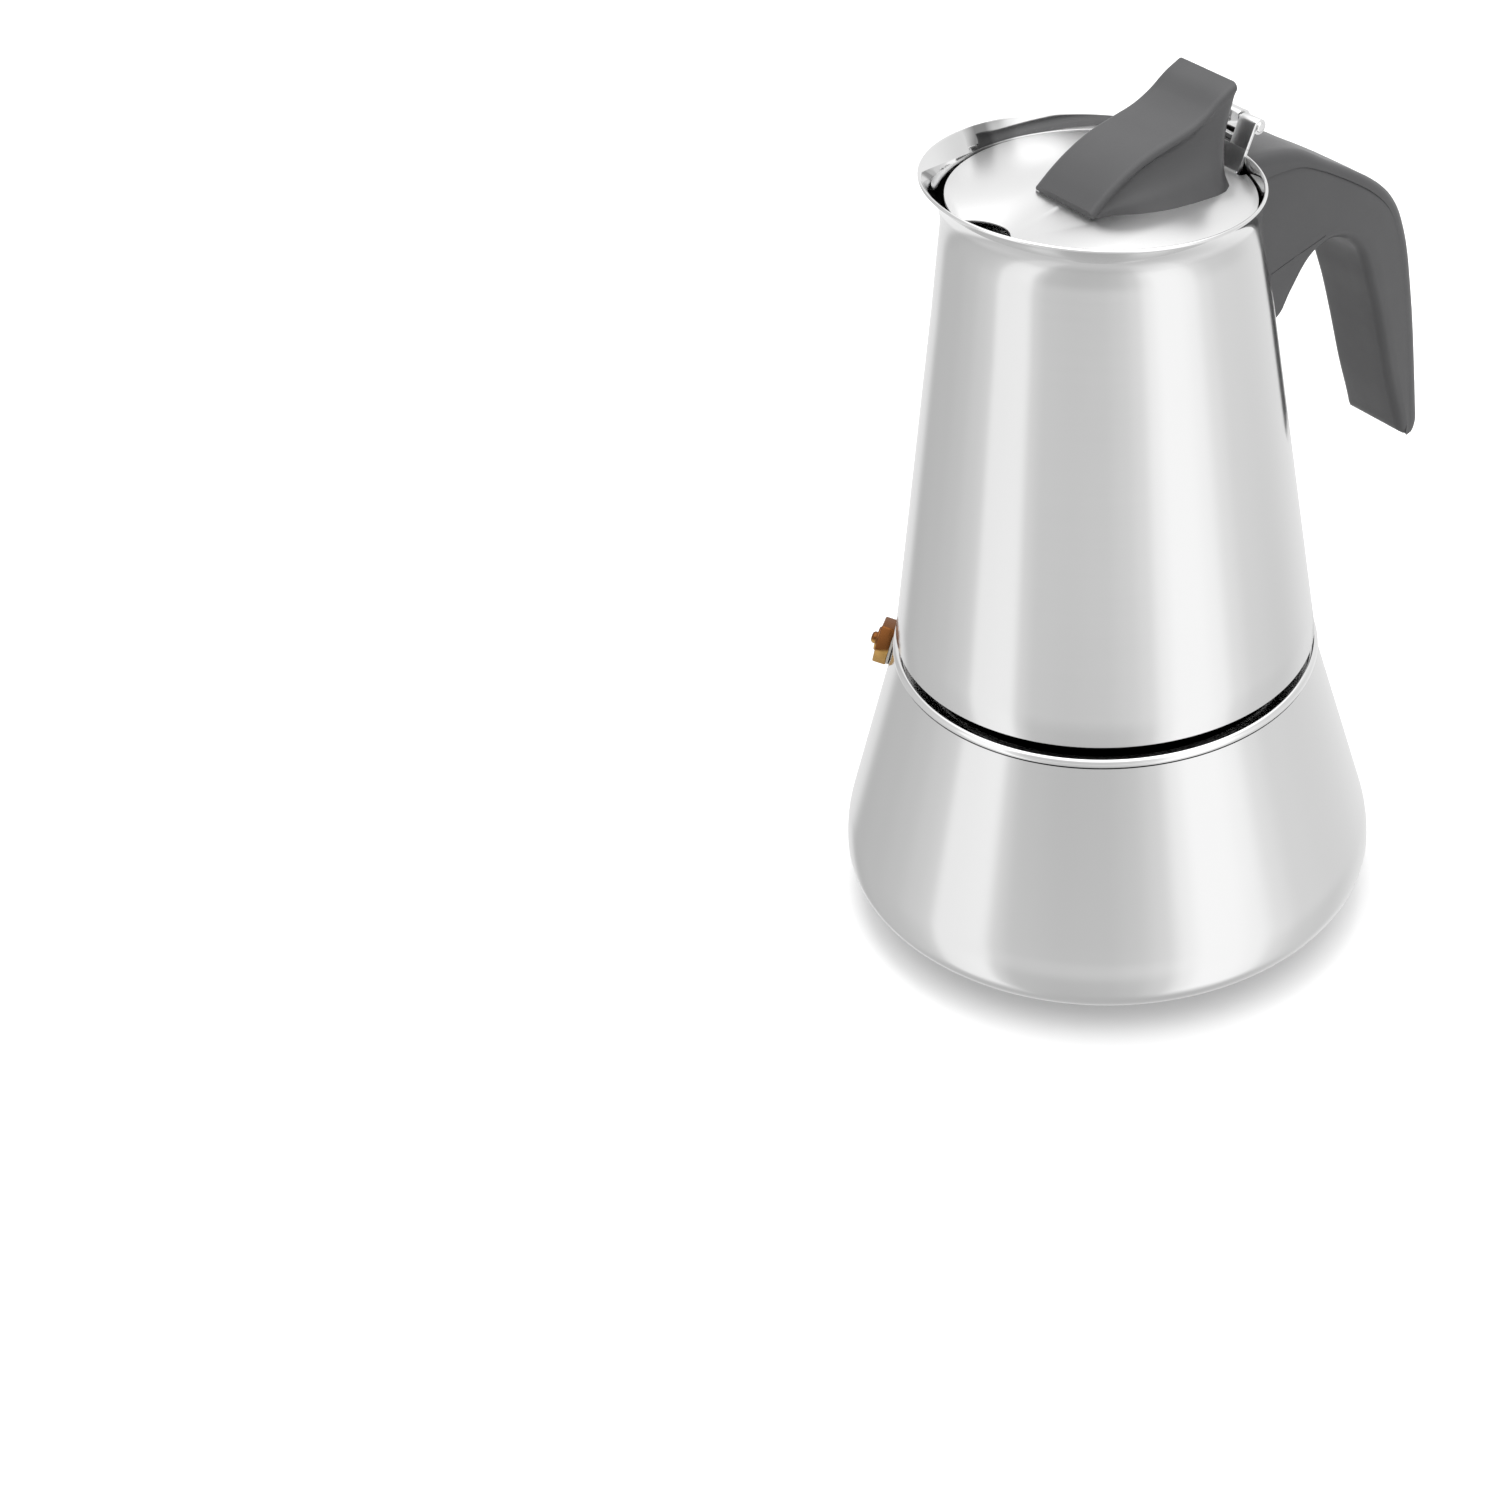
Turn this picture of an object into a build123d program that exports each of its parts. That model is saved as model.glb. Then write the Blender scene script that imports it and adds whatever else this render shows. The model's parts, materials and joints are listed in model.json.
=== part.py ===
from build123d import *
import os
from math import asin, atan, cos, exp, hypot, radians, sin, sqrt

os.makedirs("parts", exist_ok=True)

# Stovetop coffee pot, mm. +Z up, origin on the axis at the base face, +X towards the handle.
# The belly, the seam, the boiler's height and the rim's height set the pot's size.

# Boiler
belly_r = 55.0
belly_z = 11.2
base_edge = 23.7
cone_foot_rise = 7.5
boiler_top_z = 58.7
boiler_wall = 1.0
boiler_step = 0.4

# Neck, thread and the visible slot between the two vessels
bead_step = 0.8
bead_h = 2.2
seam_gap = 2.6
neck_wall = 2.5
neck_rise = 14.3
neck_lip_drop = 1.6
neck_chamfer = 0.4
thread_pitch = 4.0
thread_rise = 6.0
thread_depth = 0.95
thread_root_w = 1.7
thread_crest_w = 0.9
thread_foot_rise = 6.3
thread_gap = 0.45
thread_ring_wall = 3.28
thread_bury = 0.5
thread_ring_rise = 0.3

# Funnel
flange_t = 0.6
basket_gap = 0.4
basket_wall = 0.6
basket_floor_drop = 4.7
basket_cone_drop = 6.0
stem_r = 4.5
stem_wall = 0.6
stem_end_z = 4.5
spigot_h = 4.0
screen_t = 0.5
screen_rings = 5
screen_hole_r = 0.55
screen_edge = 5.5

# Collector
seam_r = 42.4
wall_taper = 0.1369
collector_wall = 0.7
rim_z = 163.4
rim_flare = 1.98
rim_slope = 0.10
spout_reach = 3.5
spout_half_angle = 105.0
mouth_drop = 25.4
rim_room_drop = 10.2
gasket_t = 2.9
gasket_w = 6.6
gasket_lip = 0.1
gasket_edge_r = 0.3
plate_lap = 1.5
plate_t = 0.8
floor_t = 1.0
floor_dish_edge = 1.5
floor_dish_h = 6.0
floor_collar_h = 3.0
floor_collar_wall = 0.6
column_r = 4.5
column_wall = 0.9
column_drop = 11.4
cap_r = 5.3
cap_h = 9.5
cap_over = 5.0
cap_wall = 0.6
cap_crown = 0.6
cap_edge_r = 1.8
cap_port_size = (4.4, 2.2)

# Lid, hinge and knob
lid_gap = 1.7
lid_t = 0.8
lid_drop = 3.0
lid_slope = 0.07
notch_r = 6.0
notch_out = 1.4
notch_round = 0.9
hinge_out = 1.3
hinge_rise = 2.4
pin_r = 1.0
pin_half = 8.4
knuckle_r = 1.9
knuckle_half = 8.0
mid_knuckle_half = 3.2
tongue_root_half = 9.6
tongue_reach = 5.4
nick_w = 1.2
strap_t = 1.0
strap_half = 2.9
strap_out = 0.3
strap_foot_drop = 15.0
knob_half = 8.3
knob_screw_back = 10.6
knob_peg_back = 24.4
peg_r = 1.3
lid_screw_r = 1.45
lid_screw_head_r = 3.0
lid_screw_head_h = 1.9
lid_screw_edge_r = 1.2
lid_screw_grip = 7.5
lid_screw_cross_size = (3.0, 0.7, 1.1)

# Handle
handle_half = 9.0
handle_edge_r = 2.4
slot_half = 5.4
slot_front = 1.4
slot_back = 2.2
slot_floor_drop = 11.9
bracket_drop = 16.9
bracket_t = 1.4
bracket_half = 5.0
bracket_out = 14.3
bracket_foot_h = 7.0
bracket_foot_t = 4.0
screw_out = 7.8
screw_r = 1.75
screw_head_r = 3.1
screw_head_h = 2.3
screw_tip_drop = 11.4
screw_head_edge_r = 0.8
screw_cross_size = (3.2, 0.8, 1.2)
screw_seat_drop = 24.8
parting_drop = 31.7
parting_slope = 0.243
parting_out = 17.8
cover_gap = 0.15

# Safety valve
valve_azimuth = 130.0
valve_drop = 5.1
valve_stub_r = 3.6
valve_shoulder = 0.7
valve_hex_h = 3.4
valve_washer_t = 0.5
valve_washer_lap = 1.0
valve_stub_l = 6.0
valve_nut_t = 2.6
valve_port_r = 1.4
valve_chamber_r = 2.4
plunger_head_r = 2.1
plunger_head_t = 0.8
plunger_r = 1.3
plunger_out = 1.1
valve_spring_r = 1.8
valve_spring_wire = 0.35
valve_spring_coils = 4
valve_seat_t = 1.0
valve_roof_t = 1.2
valve_hex_chamfer = 0.5
valve_hole_half = 4.0

# Clearances
sliding_gap = 0.1
snug_gap = 0.02
part_gap = 0.3
hole_gap = 0.15
slot_gap = 0.2

# Heights and radii that follow from the sizes above
shoulder_top_z = boiler_top_z + bead_h
seam_z = shoulder_top_z + seam_gap
neck_top_z = boiler_top_z + neck_rise
basket_floor_z = boiler_top_z - basket_floor_drop
thread_start_z = boiler_top_z + thread_foot_rise
valve_z = boiler_top_z - valve_drop
valve_hex_flats = 2 * (valve_stub_r + valve_shoulder)
valve_washer_r = valve_stub_r + valve_washer_lap
base_flat_r = belly_r - base_edge
cone_foot_z = belly_z + cone_foot_rise
boiler_top_r = seam_r + boiler_step
shoulder_r = seam_r + bead_step
inner_thread_r = seam_r - collector_wall - snug_gap - thread_ring_wall
neck_out_r = inner_thread_r - thread_gap - thread_depth
neck_in_r = neck_out_r - neck_wall
basket_r = neck_in_r - basket_gap
gasket_out_r = neck_out_r + gasket_lip
gasket_in_r = gasket_out_r - gasket_w
plate_r = gasket_in_r + plate_lap
floor_dish_r = gasket_in_r - floor_dish_edge
screen_pitch = (basket_r - basket_wall - screen_edge) / screen_rings
gasket_z = neck_top_z + flange_t
floor_z = gasket_z + gasket_t


def wall_r(z):
    return seam_r - wall_taper * (z - seam_z)


rim_r = wall_r(rim_z) + rim_flare
column_top_z = rim_z - column_drop
cap_top_z = column_top_z + cap_over
cap_bottom_z = cap_top_z - cap_h
lid_r = rim_r - lid_gap
lid_z = rim_z - lid_drop
notch_offset = lid_r + notch_out
hinge_x = rim_r + hinge_out
hinge_z = rim_z + hinge_rise
tongue_root_x = hinge_x - tongue_reach
strap_x = hinge_x + strap_out
strap_foot_z = rim_z - strap_foot_drop
knob_screw_x = tongue_root_x - knob_screw_back
knob_peg_x = tongue_root_x - knob_peg_back
slot_x = (hinge_x - slot_front, hinge_x + slot_back)
slot_floor_z = rim_z - slot_floor_drop
bracket_z = rim_z - bracket_drop
bracket_reach = rim_r + bracket_out
screw_x = rim_r + screw_out
screw_tip_z = rim_z - screw_tip_drop
screw_seat_z = rim_z - screw_seat_drop


def lid_top(x):
    return lid_z - lid_slope * x


def boiler_cone_r(z):
    slope = (belly_r - boiler_top_r) / (boiler_top_z - (belly_z + cone_foot_z) / 2)
    return boiler_top_r + slope * (boiler_top_z - z)


# Helper solids, not exported ------------------------------------------------

with BuildPart() as outer_ridge:
    with BuildLine() as outer_helix:
        Helix(thread_pitch, thread_rise, neck_out_r, center=(0, 0, thread_start_z))
    with BuildSketch(Plane(outer_helix.line @ 0, x_dir=(1, 0, 0), z_dir=outer_helix.line % 0)) as outer_tooth:
        with BuildLine() as outer_tooth_line:
            Polyline(
                (-thread_bury, -thread_root_w / 2), (0, -thread_root_w / 2),
                (thread_depth, -thread_crest_w / 2),
                (thread_depth, thread_crest_w / 2), (0, thread_root_w / 2),
                (-thread_bury, thread_root_w / 2),
                close=True,
            )
        make_face()
    sweep(path=outer_helix.line, is_frenet=True)

with BuildPart() as inner_ridge:
    with BuildLine() as inner_helix:
        Helix(thread_pitch, thread_rise, inner_thread_r, center=(0, 0, thread_start_z + thread_pitch / 2))
    with BuildSketch(Plane(inner_helix.line @ 0, x_dir=(1, 0, 0), z_dir=inner_helix.line % 0)) as inner_tooth:
        with BuildLine() as inner_tooth_line:
            Polyline(
                (thread_bury, -thread_root_w / 2), (0, -thread_root_w / 2),
                (-thread_depth, -thread_crest_w / 2),
                (-thread_depth, thread_crest_w / 2), (0, thread_root_w / 2),
                (thread_bury, thread_root_w / 2),
                close=True,
            )
        make_face()
    sweep(path=inner_helix.line, is_frenet=True)


# Safety valve frame: z along the valve axis, outwards, origin on the boiler's outer face
valve_lean = atan((belly_r - boiler_top_r) / (boiler_top_z - (belly_z + cone_foot_z) / 2))
valve_r = boiler_cone_r(valve_z)
valve_dir = (
    cos(valve_lean) * cos(radians(valve_azimuth)),
    cos(valve_lean) * sin(radians(valve_azimuth)),
    sin(valve_lean),
)
valve_plane = Plane(
    origin=(valve_r * cos(radians(valve_azimuth)), valve_r * sin(radians(valve_azimuth)), valve_z),
    x_dir=(-sin(radians(valve_azimuth)), cos(radians(valve_azimuth)), 0),
    z_dir=valve_dir,
)

# Boiler -----------------------------------------------------------------------

cone_knee_z = (belly_z + cone_foot_z) / 2
with BuildPart() as boiler_shell:
    with BuildSketch(Plane.XZ) as boiler_section:
        with BuildLine() as boiler_line:
            Line((0, 0), (base_flat_r, 0))
            EllipticalCenterArc(
                (base_flat_r, belly_z), belly_r - base_flat_r, belly_z, start_angle=270, arc_size=90,
            )
            Bezier((belly_r, belly_z), (belly_r, cone_knee_z), (boiler_cone_r(cone_foot_z), cone_foot_z))
            Line((boiler_cone_r(cone_foot_z), cone_foot_z), (boiler_top_r, boiler_top_z))
            Line((boiler_top_r, boiler_top_z), (0, boiler_top_z))
            Line((0, boiler_top_z), (0, 0))
        make_face()
    revolve(axis=Axis.Z)
    offset(amount=-boiler_wall, openings=boiler_shell.faces().sort_by(Axis.Z)[-1])
    with BuildSketch(valve_plane.offset(-valve_hole_half)) as valve_hole:
        Circle(valve_stub_r + sliding_gap)
    extrude(amount=2 * valve_hole_half, mode=Mode.SUBTRACT)
boiler_shell.part.label = "boiler_shell"
export_step(boiler_shell.part, "parts/boiler_shell.step")

bead_r = bead_h / 2
with BuildPart() as neck_ring:
    with BuildSketch(Plane.XZ) as neck_section:
        with BuildLine() as neck_line:
            lip_r = neck_out_r
            Polyline(
                (shoulder_r - bead_r, boiler_top_z), (lip_r, boiler_top_z),
                (lip_r, boiler_top_z - neck_lip_drop),
                (neck_in_r, boiler_top_z - neck_lip_drop), (neck_in_r, neck_top_z),
                (neck_out_r, neck_top_z),
                (neck_out_r, shoulder_top_z), (shoulder_r - bead_r, shoulder_top_z),
            )
            ThreePointArc(
                (shoulder_r - bead_r, shoulder_top_z), (shoulder_r, boiler_top_z + bead_r),
                (shoulder_r - bead_r, boiler_top_z),
            )
        make_face()
    revolve(axis=Axis.Z)
    neck_top_edges = neck_ring.edges().filter_by(GeomType.CIRCLE).group_by(Axis.Z)[-1]
    chamfer(neck_top_edges.sort_by(SortBy.RADIUS)[-1], neck_chamfer)
    add(outer_ridge.part)
neck_ring.part.label = "neck_ring"
export_step(neck_ring.part, "parts/neck_ring.step")

# Safety valve -------------------------------------------------------------------

hex_top = valve_washer_t + valve_hex_h
with BuildPart() as valve_body:
    with BuildSketch(valve_plane.offset(valve_washer_t)) as valve_hex:
        RegularPolygon(valve_hex_flats / 2, 6, major_radius=False)
    extrude(amount=valve_hex_h)
    chamfer(valve_body.faces().sort_by(Axis(valve_plane.origin, valve_dir))[-1].edges(), valve_hex_chamfer)
    with BuildSketch(valve_plane.offset(valve_washer_t - valve_stub_l)) as valve_stub:
        Circle(valve_stub_r)
    extrude(amount=valve_stub_l)
    with BuildSketch(valve_plane.offset(valve_washer_t - valve_stub_l)) as valve_port:
        Circle(valve_port_r)
    extrude(amount=valve_stub_l, mode=Mode.SUBTRACT)
    with BuildSketch(valve_plane.offset(valve_washer_t - valve_stub_l + valve_seat_t)) as valve_chamber:
        Circle(valve_chamber_r)
    extrude(amount=valve_stub_l + valve_hex_h - valve_seat_t - valve_roof_t, mode=Mode.SUBTRACT)
    with BuildSketch(valve_plane.offset(0)) as valve_exit:
        Circle(plunger_r + sliding_gap)
    extrude(amount=hex_top + 1, mode=Mode.SUBTRACT)
valve_body.part.label = "valve_body"
export_step(valve_body.part, "parts/valve_body.step")

with BuildPart() as valve_washer:
    with BuildSketch(valve_plane) as valve_washer_ring:
        Circle(valve_washer_r)
        Circle(valve_stub_r + sliding_gap, mode=Mode.SUBTRACT)
    extrude(amount=valve_washer_t)
valve_washer.part.label = "valve_washer"
export_step(valve_washer.part, "parts/valve_washer.step")

nut_sag = valve_r - boiler_wall - sqrt((valve_r - boiler_wall) ** 2 - (valve_hex_flats / sqrt(3)) ** 2)
with BuildPart() as valve_nut:
    with BuildSketch(valve_plane.offset(-boiler_wall - nut_sag - sliding_gap)) as valve_nut_hex:
        RegularPolygon(valve_hex_flats / 2, 6, major_radius=False)
        Circle(valve_stub_r + snug_gap, mode=Mode.SUBTRACT)
    extrude(amount=-valve_nut_t)
valve_nut.part.label = "valve_nut"
export_step(valve_nut.part, "parts/valve_nut.step")

plunger_z = valve_washer_t - valve_stub_l + valve_seat_t + snug_gap
with BuildPart() as valve_plunger:
    with BuildSketch(valve_plane.offset(plunger_z)) as plunger_head:
        Circle(plunger_head_r)
    extrude(amount=plunger_head_t)
    with BuildSketch(valve_plane.offset(plunger_z)) as plunger_stem:
        Circle(plunger_r)
    extrude(amount=hex_top + plunger_out - plunger_z)
    fillet(valve_plunger.edges().sort_by(Axis(valve_plane.origin, valve_dir))[-1], plunger_r * 0.6)
valve_plunger.part.label = "valve_plunger"
export_step(valve_plunger.part, "parts/valve_plunger.step")

spring_z = plunger_z + plunger_head_t + valve_spring_wire + snug_gap
spring_l = hex_top - valve_roof_t - valve_spring_wire - snug_gap - spring_z
with BuildPart() as valve_spring:
    with BuildLine() as spring_line:
        Helix(spring_l / valve_spring_coils, spring_l, valve_spring_r, center=(0, 0, 0))
    with BuildSketch(Plane(spring_line.line @ 0, x_dir=(1, 0, 0), z_dir=spring_line.line % 0)) as spring_wire:
        Circle(valve_spring_wire)
    sweep(path=spring_line.line, is_frenet=True)
valve_spring_part = valve_plane.offset(spring_z).location * valve_spring.part
valve_spring_part.label = "valve_spring"
export_step(valve_spring_part, "parts/valve_spring.step")

# Funnel ---------------------------------------------------------------------------

basket_in_r = basket_r - basket_wall
spigot_r = stem_r + snug_gap + basket_wall
with BuildPart() as funnel_basket:
    with BuildSketch(Plane.XZ) as basket_section:
        with BuildLine() as basket_line:
            cone_z = basket_floor_z - basket_cone_drop
            Polyline(
                (neck_out_r, neck_top_z), (neck_out_r, gasket_z), (basket_in_r, gasket_z),
                (basket_in_r, basket_floor_z), (stem_r + snug_gap, cone_z),
                (stem_r + snug_gap, cone_z - spigot_h),
                (spigot_r, cone_z - spigot_h), (spigot_r, cone_z - basket_wall),
                (basket_r, basket_floor_z - basket_wall), (basket_r, neck_top_z), close=True,
            )
        make_face()
    revolve(axis=Axis.Z)
funnel_basket.part.label = "funnel_basket"
export_step(funnel_basket.part, "parts/funnel_basket.step")

with BuildPart() as funnel_stem:
    with BuildSketch(Plane.XY.offset(stem_end_z)) as stem_ring:
        Circle(stem_r)
        Circle(stem_r - stem_wall, mode=Mode.SUBTRACT)
    extrude(amount=basket_floor_z - basket_cone_drop - stem_end_z)
funnel_stem.part.label = "funnel_stem"
export_step(funnel_stem.part, "parts/funnel_stem.step")

with BuildPart() as funnel_screen:
    with BuildSketch(Plane.XY.offset(basket_floor_z + snug_gap)) as screen_disc:
        Circle(basket_in_r - sliding_gap)
        Circle(screen_hole_r, mode=Mode.SUBTRACT)
        for ring in range(1, screen_rings + 1):
            with PolarLocations(ring * screen_pitch, 6 * ring):
                Circle(screen_hole_r, mode=Mode.SUBTRACT)
    extrude(amount=screen_t)
funnel_screen.part.label = "funnel_screen"
export_step(funnel_screen.part, "parts/funnel_screen.step")

# Seal ------------------------------------------------------------------------------

with BuildPart() as gasket:
    with BuildSketch(Plane.XZ) as gasket_section:
        with BuildLine() as gasket_line:
            step_z = floor_z - plate_t - sliding_gap
            Polyline(
                (gasket_in_r, gasket_z), (gasket_out_r, gasket_z), (gasket_out_r, floor_z),
                (plate_r + sliding_gap, floor_z), (plate_r + sliding_gap, step_z),
                (gasket_in_r, step_z), close=True,
            )
        make_face()
    revolve(axis=Axis.Z)
    fillet(gasket.edges().group_by(Axis.Z)[0], gasket_edge_r)
gasket.part.label = "gasket"
export_step(gasket.part, "parts/gasket.step")

with BuildPart() as filter_plate:
    with BuildSketch(Plane.XY.offset(floor_z - plate_t - sliding_gap / 2)) as plate_disc:
        Circle(plate_r)
        Circle(screen_hole_r, mode=Mode.SUBTRACT)
        for ring in range(1, screen_rings + 1):
            with PolarLocations(ring * screen_pitch * 0.95, 6 * ring):
                Circle(screen_hole_r, mode=Mode.SUBTRACT)
    extrude(amount=plate_t)
filter_plate.part.label = "filter_plate"
export_step(filter_plate.part, "parts/filter_plate.step")

# Collector --------------------------------------------------------------------------


def spout_shape(angle):
    return exp(-abs(angle / spout_half_angle) ** 3)


# Where the mouth leans, flares and gathers into the spout: (drop below the rim, share of the rim's slope,
# share of the flare, share of the spout)
mouth_steps = [
    (mouth_drop, 0.0, 0.0, 0.0), (15.4, 0.45, 0.0, 0.0), (10.9, 0.7, 0.0, 0.0), (8.4, 0.8, 0.01, 0.0),
    (6.4, 0.87, 0.06, 0.04), (4.8, 0.92, 0.16, 0.12), (3.2, 0.96, 0.34, 0.3), (1.6, 0.98, 0.62, 0.6),
    (0.0, 1.0, 1.0, 1.0),
]
mouth_rings = [(seam_z, 0.0, 0.0, 0.0)]
for drop, lean_share, flare_share, spout_share in mouth_steps:
    ring = (rim_z - drop, rim_slope * lean_share, rim_flare * flare_share, spout_reach * spout_share)
    mouth_rings.append(ring)


def ring_points(ring, inset, count=28):
    height, slope, flare, spout = ring
    points = []
    for i in range(count):
        turn = 360 * i / count
        away = abs((turn - 180 + 180) % 360 - 180)
        reach = wall_r(height) + flare + spout * spout_shape(away) - inset
        side = 1 - wall_taper * slope * cos(radians(turn))
        reach = reach / side
        x = reach * cos(radians(turn))
        points.append((x, reach * sin(radians(turn)), height - slope * x))
    return points


def ring_plane(ring):
    height, slope = ring[0], ring[1]
    lean = atan(slope)
    return Plane((0, 0, height), x_dir=(cos(lean), 0, -sin(lean)), z_dir=(sin(lean), 0, cos(lean)))


def ring_outline(ring, inset):
    plane = ring_plane(ring)
    return [tuple(plane.to_local_coords(Vector(*p)))[:2] for p in ring_points(ring, inset)]


# Everything inside the collector's outer face, which whatever is fixed to the wall is cut to
with BuildPart() as wall_core:
    for ring in mouth_rings:
        with BuildSketch(ring_plane(ring)) as mouth_outline:
            with BuildLine() as mouth_outline_line:
                Spline(ring_outline(ring, 0), periodic=True)
            make_face()
    loft(ruled=True)

# Room for the flared rim
with BuildPart() as rim_room:
    with BuildSketch(Plane.XY.offset(rim_z - rim_room_drop)) as rim_room_disc:
        Circle(rim_r + part_gap)
    extrude(amount=20)

under_seam = (seam_z - 1.0, 0.0, 0.0, 0.0)
over_rim = (rim_z + 1.0, rim_slope, rim_flare + 0.4, spout_reach + 0.7)
with BuildPart() as collector_shell:
    add(wall_core.part)
    for ring in [under_seam] + mouth_rings[1:] + [over_rim]:
        with BuildSketch(ring_plane(ring)) as mouth_bore:
            with BuildLine() as mouth_bore_line:
                Spline(ring_outline(ring, collector_wall), periodic=True)
            make_face()
    loft(ruled=True, mode=Mode.SUBTRACT)
collector_shell.part.label = "collector_shell"
export_step(collector_shell.part, "parts/collector_shell.step")


def inner_wall_r(z):
    return wall_r(z) - collector_wall - snug_gap


with BuildPart() as thread_ring:
    with BuildSketch(Plane.XZ) as thread_ring_section:
        with BuildLine() as thread_ring_line:
            low_z = seam_z + thread_ring_rise
            Polyline(
                (inner_thread_r, low_z), (inner_wall_r(low_z), low_z), (inner_wall_r(floor_z), floor_z),
                (inner_thread_r, floor_z), close=True,
            )
        make_face()
    revolve(axis=Axis.Z)
    add(inner_ridge.part)
thread_ring.part.label = "thread_ring"
export_step(thread_ring.part, "parts/thread_ring.step")

with BuildPart() as collector_floor:
    with BuildSketch(Plane.XZ) as floor_section:
        with BuildLine() as floor_line:
            dish_r = column_r + floor_collar_wall
            Polyline(
                (inner_wall_r(floor_z), floor_z), (inner_wall_r(floor_z + floor_t), floor_z + floor_t),
                (floor_dish_r + 0.5, floor_z + floor_t), (dish_r, floor_z + floor_dish_h + floor_t),
                (dish_r, floor_z + floor_dish_h + floor_collar_h),
                (column_r + snug_gap, floor_z + floor_dish_h + floor_collar_h),
                (column_r + snug_gap, floor_z + floor_dish_h), (floor_dish_r, floor_z), close=True,
            )
        make_face()
    revolve(axis=Axis.Z)
collector_floor.part.label = "collector_floor"
export_step(collector_floor.part, "parts/collector_floor.step")

with BuildPart() as riser_column:
    with BuildSketch(Plane.XY.offset(floor_z + floor_dish_h)) as column_ring:
        Circle(column_r)
        Circle(column_r - column_wall, mode=Mode.SUBTRACT)
    extrude(amount=column_top_z - floor_z - floor_dish_h)
riser_column.part.label = "riser_column"
export_step(riser_column.part, "parts/riser_column.step")

cap_port_z = (column_top_z + cap_top_z) / 2 - 0.2
with BuildPart() as column_cap:
    with BuildSketch(Plane.XY.offset(cap_bottom_z)) as cap_disc:
        Circle(cap_r)
    extrude(amount=cap_top_z - cap_bottom_z)
    fillet(column_cap.edges().sort_by(Axis.Z)[-1], cap_edge_r)
    with BuildSketch(Plane.XY.offset(cap_bottom_z)) as cap_bore:
        Circle(column_r + snug_gap)
    extrude(amount=cap_top_z - cap_bottom_z - cap_wall - cap_crown, mode=Mode.SUBTRACT)
    with BuildSketch(Plane.XZ.offset(-cap_r - 1)) as cap_port:
        with Locations((0, cap_port_z)):
            SlotOverall(*cap_port_size)
    extrude(amount=2 * cap_r + 2, mode=Mode.SUBTRACT)
column_cap.part.label = "column_cap"
export_step(column_cap.part, "parts/column_cap.step")

# Handle ------------------------------------------------------------------------------

# Side view of the handle, as (out from the rim, up from the rim)
handle_outer = [
    (13.3, -6.8), (19.8, -10.9), (26.0, -14.9), (32.2, -19.2), (36.9, -23.4), (39.9, -27.6), (42.0, -32.6),
    (43.6, -38.6), (44.8, -45.4), (46.3, -55.4), (47.7, -67.4), (48.9, -78.9),
]
handle_inner = [
    (43.4, -80.9), (40.9, -74.0), (38.1, -63.4), (36.0, -55.0), (33.9, -47.4), (32.2, -42.4),
]
handle_arch = [
    (32.2, -42.4), (30.6, -37.4), (28.3, -33.0), (25.1, -29.6), (19.7, -28.0), (14.1, -30.1), (9.2, -36.2),
    (6.3, -40.3),
]
handle_tip = (47.3, -82.3)
handle_back = -1.7
handle_top = -4.0
handle_foot = -41.2


def by_rim(points):
    return [(rim_r + out, rim_z + up) for out, up in points]


outer_line, inner_line, arch_line = by_rim(handle_outer), by_rim(handle_inner), by_rim(handle_arch)
back_x, top_z, foot_z = rim_r + handle_back, rim_z + handle_top, rim_z + handle_foot
with BuildPart() as handle_block:
    with BuildSketch(Plane.XZ.offset(-handle_half)) as handle_side:
        with BuildLine() as handle_side_line:
            Line((back_x, foot_z), (back_x, top_z))
            Bezier((back_x, top_z), (back_x + 8.0, top_z + 0.4), outer_line[0])
            Spline(outer_line, tangents=((1, -0.5), (0.1, -1)))
            ThreePointArc(outer_line[-1], (rim_r + handle_tip[0], rim_z + handle_tip[1]), inner_line[0])
            Spline(inner_line, tangents=((-0.3, 1), (-0.33, 1)))
            Spline(arch_line, tangents=((-0.33, 1), (-0.5, -1)))
            Line(arch_line[-1], (back_x, foot_z))
        make_face()
    extrude(amount=2 * handle_half)


def is_outer(edge):
    mid = edge @ 0.5
    return mid.Z > top_z - 2.0 or (mid.X > rim_r + 30.0 and mid.Z > rim_z - 36.0)


with BuildPart() as handle_rounded:
    add(handle_block.part)
    fillet(handle_rounded.faces().filter_by(Axis.Y).edges().filter_by(is_outer), handle_edge_r)


def under_parting(lower):
    low_z = rim_z - parting_drop - lower
    high_z = low_z + parting_slope * (rim_r + parting_out - cut_x)
    return [(cut_x, low_z), (rim_r + parting_out, high_z), (rim_r + parting_out, cut_z), (cut_x, cut_z)]


cut_x, cut_z = rim_r - 5.7, rim_z - 53.4
with BuildPart() as cover_zone:
    with BuildSketch(Plane.XZ.offset(-2 * handle_half)) as cover_zone_side:
        with BuildLine() as cover_zone_line:
            Polyline(under_parting(0), close=True)
        make_face()
    extrude(amount=4 * handle_half)

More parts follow.
